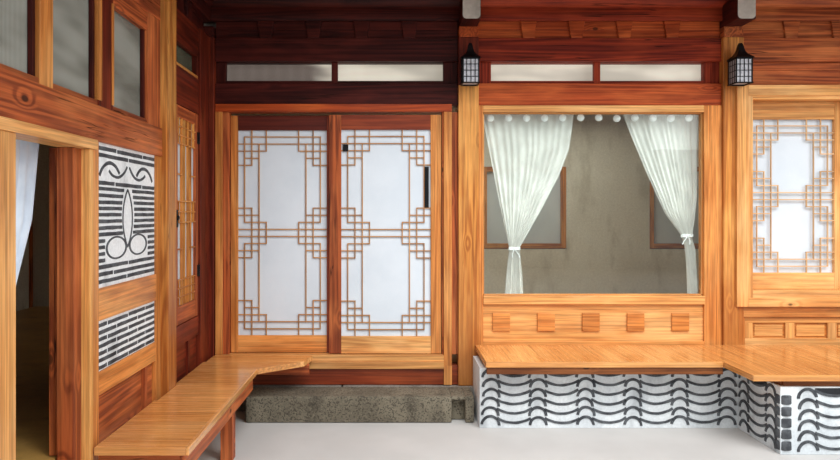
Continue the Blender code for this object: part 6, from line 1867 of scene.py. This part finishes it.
for which, (_, length, lines) in RANGES.items():
    bm = begin()
    for number, s in enumerate(lines):
        last = s > length - 0.01
        low, high = (s + 0.02, s + 0.0825) if last else around(s, 0.145)
        near = -HALF_SPAN + 0.12 if number == 0 else -HALF_SPAN - 0.285
        board(bm, (low, high), (near + 0.002, HALF_SPAN + 0.283), (3.09, 3.27), axis=1,
              ease=0.006)
        if not last:
            for end in (near + 0.0015, HALF_SPAN + 0.2835):
                limewashed_end(bm, s, end)
        board(bm, (low + 0.002, high - 0.002), around(0.0, 0.18), (3.265, RIDGE_PURLIN_Z - 0.03),
              axis=2, ease=0.006)
    for u, z in ((-HALF_SPAN, PURLIN_Z), (HALF_SPAN, PURLIN_Z), (0.0, RIDGE_PURLIN_Z)):
        marks = [-u - 0.3] + [s for s in lines if s > -u + 0.2] + [length + 0.5]
        if marks[-1] - marks[-2] < 0.6:
            marks.pop(-2)
        for number, (start, stop) in enumerate(zip(marks, marks[1:])):
            # On the main range's courtyard side the purlin lengths go from dark at the left to
            # bright at the right: painted shade and painted sunlight over one wood.
            shade = min(number, 2) if which == "main" and u < 0 else 0
            round_timber(bm, (start, u, z), (stop - 0.0015, u, z), 0.09, 28, start < -u, shade)
            if u:
                part = begin()
                board(part, (start, min(stop, length + 0.15)), around(u, 0.09), (3.1463, 3.262),
                      ease=0.004, axis=0)
                if start < -u:
                    mitre(part)
                take_in(bm, part, shade)
    laid_board(bm, (0.05, lines[0]), around(0.0, 0.135), (3.092, 3.24), lambda u: 0.0, True,
               axis=0, ease=0.006)
    to_plan(bm, which)
    piece(bm, which + "_roof_timbers", [DARK_BEAM, RED_BEAM, BROWN, LIMEWASH],
          replaces=(which + "_roof_frame",), smooth=35)

    # Rafters, the deck on them, the boards along the gable, and the hip and valley rafters
    bm = begin()
    lift = 0.055 / math.cos(math.atan(SLOPE))
    end = length + VERGE
    s = end - 0.10
    while s > -HALF_ROOF:
        for sign in (-1, 1):
            near = 0.01 if sign < 0 else max(0.01, -s + 0.07)
            far = min(TIP, s - 0.07) if sign < 0 else TIP
            if far - near > 0.25:
                round_timber(bm, (s, sign * near, rafter_foot(near) + lift),
                             (s, sign * far, rafter_foot(far) + lift), 0.055, 14)
        s -= 0.355
    deck = HALF_ROOF - 0.03
    for sign in (-1, 1):
        for row in range(16):
            near, far = deck * row / 16, deck * (row + 1) / 16 - 0.002
            laid_board(bm, (-HALF_ROOF - 0.2, end - 0.01), sorted((sign * near, sign * far)),
                       (0.0, 0.028), deck_foot, mitred=True, axis=0, ease=0.001, mat=1)
        laid_board(bm, (end - 0.04, end), sorted((sign * 0.001, sign * (HALF_ROOF - 0.02))),
                   (-0.26, 0.028), deck_foot, axis=1, ease=0.004)
    if which == "main":
        for angle in (-45.0, 135.0):
            part = begin()
            board(part, (0.15, (TIP - 0.05) * math.sqrt(2)), around(0.0, 0.14), (0.003, 0.105),
                  axis=0, ease=0.004)
            for vert in part.verts:
                vert.co.z += rafter_foot(vert.co.x / math.sqrt(2))
            bmesh.ops.rotate(part, cent=(0, 0, 0), verts=part.verts,
                             matrix=Matrix.Rotation(math.radians(angle), 3, "Z"))
            take_in(bm, part)
    to_plan(bm, which)
    piece(bm, which + "_rafter_timbers", [BEAM, DECK_BOARD], replaces=(which + "_rafters",),
          smooth=35)

# %% [markdown]
# ## Tiles
#
# Korean roofs are laid in columns: wide hollow tiles lap up the slope, and half-round
# tiles cover the joints between two columns. One column of each kind is made tile by
# tile and then copied along the roof. The lowest cover tile's open end is stopped with
# white lime.

# %% One column of each kind
GIWA = rough_solid("fired_roof_tile", ((88, 91, 94), (66, 69, 72), (44, 46, 48)),
                   grit=60.0, cloud=5.0, rough=0.7, bump=0.3)
EARTH_BOARD = rough_solid("eave_earth", ((168, 150, 124), (140, 122, 98), (104, 88, 68)),
                          grit=50.0, cloud=3.0)
LIME = rough_solid("ridge_lime", ((214, 212, 204), (190, 188, 180), (140, 138, 132)), grit=60.0)
TILE_PITCH = 0.27
COVER = 0.062


def half_round(part, start, end, wide, narrow, plug=False):
    """A half-round tile from its wide end to its narrow one, round side up."""
    start, end = Vector(start), Vector(end)
    tile = begin()
    bmesh.ops.create_cone(tile, cap_ends=True, segments=16, radius1=wide, radius2=narrow,
                          depth=(end - start).length)
    cut(tile, (0, 0.0005, 0), (0, -1, 0))
    for face in tile.faces:
        face.material_index = 1 if plug and face.normal.z < -0.9 else 0
    along = (end - start).normalized()
    across = along.cross(Vector((0, 0, 1))).normalized()
    turn = Matrix((-across, across.cross(along), along)).transposed().to_4x4()
    bmesh.ops.transform(tile, matrix=Matrix.Translation((start + end) / 2) @ turn,
                        verts=tile.verts)
    take_in(part, tile)


def hollow_tile(low, high, place):
    """A bent sheet between two distances down a slope; place puts each of its points,
    given how far across and down it lies, and how deep the hollow is there."""
    tile = begin()
    bmesh.ops.create_grid(tile, x_segments=6, y_segments=1, size=0.5)
    for vert in tile.verts:
        across, share = vert.co.x, vert.co.y + 0.5
        vert.co = place(across, high + (low - high) * share, share, 1.0 - (across * 2) ** 2)
    return tile


def lay_face_up(part, tile):
    bmesh.ops.recalc_face_normals(tile, faces=tile.faces)
    if sum(face.normal.z for face in tile.faces) < 0:
        bmesh.ops.reverse_faces(tile, faces=tile.faces)
    take_in(part, tile)


def cover_column():
    part = begin()
    for row in range(9):
        low = HALF_ROOF - 0.026 - row * 0.268
        high = max(low - 0.30, 0.09)
        half_round(part, (0.0, low, roof_top(low) - COVER), (0.0, high, roof_top(high) - COVER),
                   COVER, COVER - 0.009, plug=row == 0)
    return part


def channel_point(across, u, share, hollow):
    return Vector((across * 0.262, u, roof_top(u) - 0.050 - 0.032 * hollow + 0.014 * share))


def channel_column():
    part = begin()
    for row in range(12):
        low = HALF_ROOF - 0.012 - row * 0.20
        tile = hollow_tile(low, max(low - 0.25, 0.05), channel_point)
        front = [e for e in tile.edges if all(abs(v.co.y - low) < 1e-4 for v in e.verts)]
        made = bmesh.ops.extrude_edge_only(tile, edges=front)["geom"]
        drop = [g for g in made if isinstance(g, bmesh.types.BMVert)]
        bmesh.ops.translate(tile, vec=(0, -0.002, -0.055 if row == 0 else -0.018), verts=drop)
        lay_face_up(part, tile)
    return part


def as_mesh(part, name, mirrored=False):
    if mirrored:
        bmesh.ops.scale(part, vec=(1, -1, 1), verts=part.verts)
        bmesh.ops.reverse_faces(part, faces=part.faces)
    mesh = bpy.data.meshes.new(name)
    part.to_mesh(mesh)
    part.free()
    return mesh


COLUMNS = {(kind, side): as_mesh(make(), kind, side < 0)
           for kind, make in (("cover", cover_column), ("channel", channel_column))
           for side in (-1, 1)}
print("faces in a column:", {key: len(mesh.polygons) for key, mesh in COLUMNS.items()})

# %% [markdown]
# ## Laying the roof
#
# Columns start at the gable and march towards the place where the ranges meet. Those
# that reach over it are cut by its plane: along the valley on the courtyard side, along
# the hip on the other. Under them lies the packed earth, closed at the eaves by a board.
# The valley itself is lined with wider hollow tiles.

# %% Roof surfaces
def valley_point(across, far, share, hollow):
    aside, away = across * 0.40 / math.sqrt(2), roof_top(far) - 0.045
    return Vector((min(far + aside, HALF_ROOF), max(-far + aside, -HALF_ROOF),
                   away - 0.03 * hollow + 0.012 * share))


for which, (_, length, _) in RANGES.items():
    bm = begin()
    end = length + VERGE
    for side in (-1, 1):
        meeting = (0.10 if side < 0 else 0.02, 0.0, 0.0)
        for number in range(int((end + HALF_ROOF) / TILE_PITCH)):
            s = end - 0.066 - number * TILE_PITCH
            if side < 0 and s < 0.1:
                continue
            for kind, at in (("cover", s), ("channel", s - TILE_PITCH / 2)):
                part = begin()
                part.from_mesh(COLUMNS[(kind, side)])
                bmesh.ops.translate(part, vec=(at + dice.uniform(-0.003, 0.003), 0.0, 0.0),
                                    verts=part.verts)
                if at < HALF_ROOF + 0.3:
                    slice_at(part, meeting, (-1.0, -1.0, 0.0), clear=True)
                take_rest(bm, part)
        body = begin()
        board(body, (-HALF_ROOF - 0.2, end - 0.001), sorted((0.0, side * (HALF_ROOF - 0.014))),
              (0.0, 1.0), ease=0.0, axis=0)
        for number in range(1, 10):
            slice_at(body, (0, side * HALF_ROOF * number / 10, 0), (0, 1, 0))
        for vert in body.verts:
            u = vert.co.y
            vert.co.z = roof_top(u) - 0.094 if vert.co.z > 0.5 else deck_foot(u) + 0.0303
        mitre(body)
        take_in(bm, body, 2)
    if which == "main":
        for row in range(13):
            low = HALF_ROOF - 0.03 - row * 0.19
            lay_face_up(bm, hollow_tile(low, max(low - 0.24, 0.06), valley_point))
    to_plan(bm, which)
    piece(bm, which + "_roof_tiles", [GIWA, LIME, EARTH_BOARD], replaces=(which + "_roof",),
          smooth=40)

# %% [markdown]
# ## Ridges
#
# A ridge is built up from layers of flat tiles bedded in lime, with a row of half-round
# tiles on top. It rises a little towards its gable end. The hip ridge, where the two
# outer slopes meet, is a lower one on the diagonal.

# %% Ridges
RIDGE_WIDE = 0.25


def ridge_layers(low, high, tall, rise=0.0, fall=0.0):
    """Layers between two places on a line, then the cover tiles; the line lifts by rise
    towards its end, and follows the roof down at fall of its own distance."""
    layer = (tall - 0.075) / 5
    part = begin()
    board(part, (low, high), around(0.0, RIDGE_WIDE - 0.05), (-0.13, tall - 0.07), ease=0.0,
          axis=0, mat=1)
    cuts = int((high - low) / 0.3)
    for number in range(1, cuts):
        slice_at(part, (low + (high - low) * number / cuts, 0, 0), (1, 0, 0))
    for row in range(5):
        start = low - (0.15 if row % 2 else 0.0)
        while start < high - 0.02:
            x = (max(start, low) + 0.001, min(start + 0.298, high))
            if x[1] - x[0] > 0.03:
                grow = dice.uniform(-0.004, 0.0)
                board(part, x, around(dice.uniform(-0.002, 0.002), RIDGE_WIDE + grow),
                      (row * layer + 0.006, (row + 1) * layer - 0.006), ease=0.002, axis=0)
            start += 0.30
    start = low
    while start < high - 0.05:
        stop = min(start + 0.32, high)
        half_round(part, (start, 0.0, tall - 0.072), (stop, 0.0, tall - 0.072), 0.068, 0.060,
                   plug=start == low)
        start += 0.295
    for vert in part.verts:
        bend = rise * max(0.0, (vert.co.x - low) / (high - low)) ** 2
        vert.co.z += roof_top(vert.co.x * fall) + bend * max(0.0, vert.co.z) / tall
    return part


bm = begin()
peak = roof_top(0.0)
for which, (_, length, _) in RANGES.items():
    part = ridge_layers(0.133, length + VERGE - 0.04, 0.318, rise=0.068)
    for vert in part.verts:
        if vert.co.z < peak - 0.001:
            vert.co.z = max(vert.co.z, roof_top(0.1) - 0.02)
    to_plan(part, which)
    take_in(bm, part)
part = ridge_layers(0.10, (HALF_ROOF - 0.10) * math.sqrt(2), 0.196, fall=1 / math.sqrt(2))
bmesh.ops.transform(part, matrix=Matrix.Translation((RIDGE_X, RIDGE_Y, 0.0))
                    @ Matrix.Rotation(math.radians(135), 4, "Z"), verts=part.verts)
take_in(bm, part)
for row in range(6):
    size, z = 0.268 - 0.02 * (row % 2), peak + row * 0.046
    board(bm, around(RIDGE_X, size), around(RIDGE_Y, size), (z, z + 0.044), ease=0.003,
          mat=row % 2)
half_round(bm, (RIDGE_X - 0.132, RIDGE_Y, peak + 0.25), (RIDGE_X + 0.132, RIDGE_Y, peak + 0.25),
           COVER, COVER)
piece(bm, "ridge_tiles", [GIWA, LIME], replaces=("roof_ridges",), smooth=40)

# %% [markdown]
# ## The doorway's curtain
#
# Made like the curtains of the picture window, but of cotton. Its near edge hangs
# straight down the jamb, and its far edge is drawn towards it. A matrix turns it from
# the main wall's direction to the wing's.

# %% Doorway curtain
to_wing = Matrix(((0, 1, 0, CORNER_X + 0.033), (-1, 0, 0, 0), (0, 0, 1, 0), (0, 0, 0, 1)))
left = ((1.945, 2.272), (1.555, 2.345), (1.395, 2.420), (1.206, 2.510), (1.105, 2.570),
        (1.02, 2.760))
right = ((1.945, 2.798), (1.02, 2.798))
bm = hanging_cloth(left, right, -0.1825, 1.943, 1.022, 6, ((1.945, 0.008), (1.02, 0.012)),
                   columns=90, rows=60, turn=to_wing)
bmesh.ops.recalc_face_normals(bm, faces=bm.faces)
made = piece(bm, "doorway_cloth", COTTON, replaces=("doorway_curtain",), smooth=180)
size = cloth_area(made)
print("doorway cloth area", round(size, 3))

# %% [markdown]
# ## Floor, light and air
#
# A plain pale floor and soft daylight: a wide panel above the courtyard, a second one
# at the right where the photograph is brightest, and a pale sky all round. A warm panel
# lights the room; neither the lens nor the panes see it.

# %% Stage and lights
floor = bmesh.new()
bmesh.ops.create_grid(floor, x_segments=1, y_segments=1, size=14.0)
floor_object = bpy.data.objects.new("studio_floor", as_mesh(floor, "studio_floor"))
scene.collection.objects.link(floor_object)
FLOOR, tree, shader = start_material("pale_floor", roughness=0.8)
speck = step(tree, noise(tree, object_place(tree), 2.0, 3.0), 0.3, 0.7)
tree.links.new(blend(tree, speck, rgb(198, 197, 194), rgb(206, 205, 202)),
               shader.inputs["Base Color"])
floor_object.data.materials.append(FLOOR)
floor_object.location.z = -0.002


def panel_light(name, place, target, size, power, colour=(1.0, 1.0, 1.0)):
    data = bpy.data.lights.new(name, "AREA")
    data.shape = "RECTANGLE"
    data.size, data.size_y = size
    data.energy = power
    data.color = colour
    made = bpy.data.objects.new(name, data)
    scene.collection.objects.link(made)
    made.location = place
    made.rotation_euler = (Vector(target) - Vector(place)).to_track_quat("-Z", "Y").to_euler()
    return made


panel_light("courtyard_sky", (1.44, -7.9, 11.0), (0.8, -0.2, 0.8), (11.2, 6.4), 1640)
side = panel_light("right_daylight", (9.0, -10.0, 6.2), (2.4, 0.0, 1.2), (6.4, 6.4), 600)
side.visible_glossy = False
panel_light("back_daylight", (-4.5, 14.0, 10.0), (0.0, 2.0, 1.2), (9.0, 7.0), 900)
room = panel_light("room_glow", (1.7, 1.7, 2.75), (1.7, 1.7, 0.0), (2.4, 1.6), 26,
                   (1.0, 0.93, 0.80))
room.visible_camera = room.visible_transmission = room.visible_glossy = False
world = bpy.data.worlds.new("pale_air")
scene.world = world
world.use_nodes = True
sky = world.node_tree.nodes["Background"].inputs
sky["Color"].default_value = (0.93, 0.96, 1.0, 1.0)
sky["Strength"].default_value = 0.55
scene.view_settings.view_transform = "Standard"
scene.view_settings.look = "None"
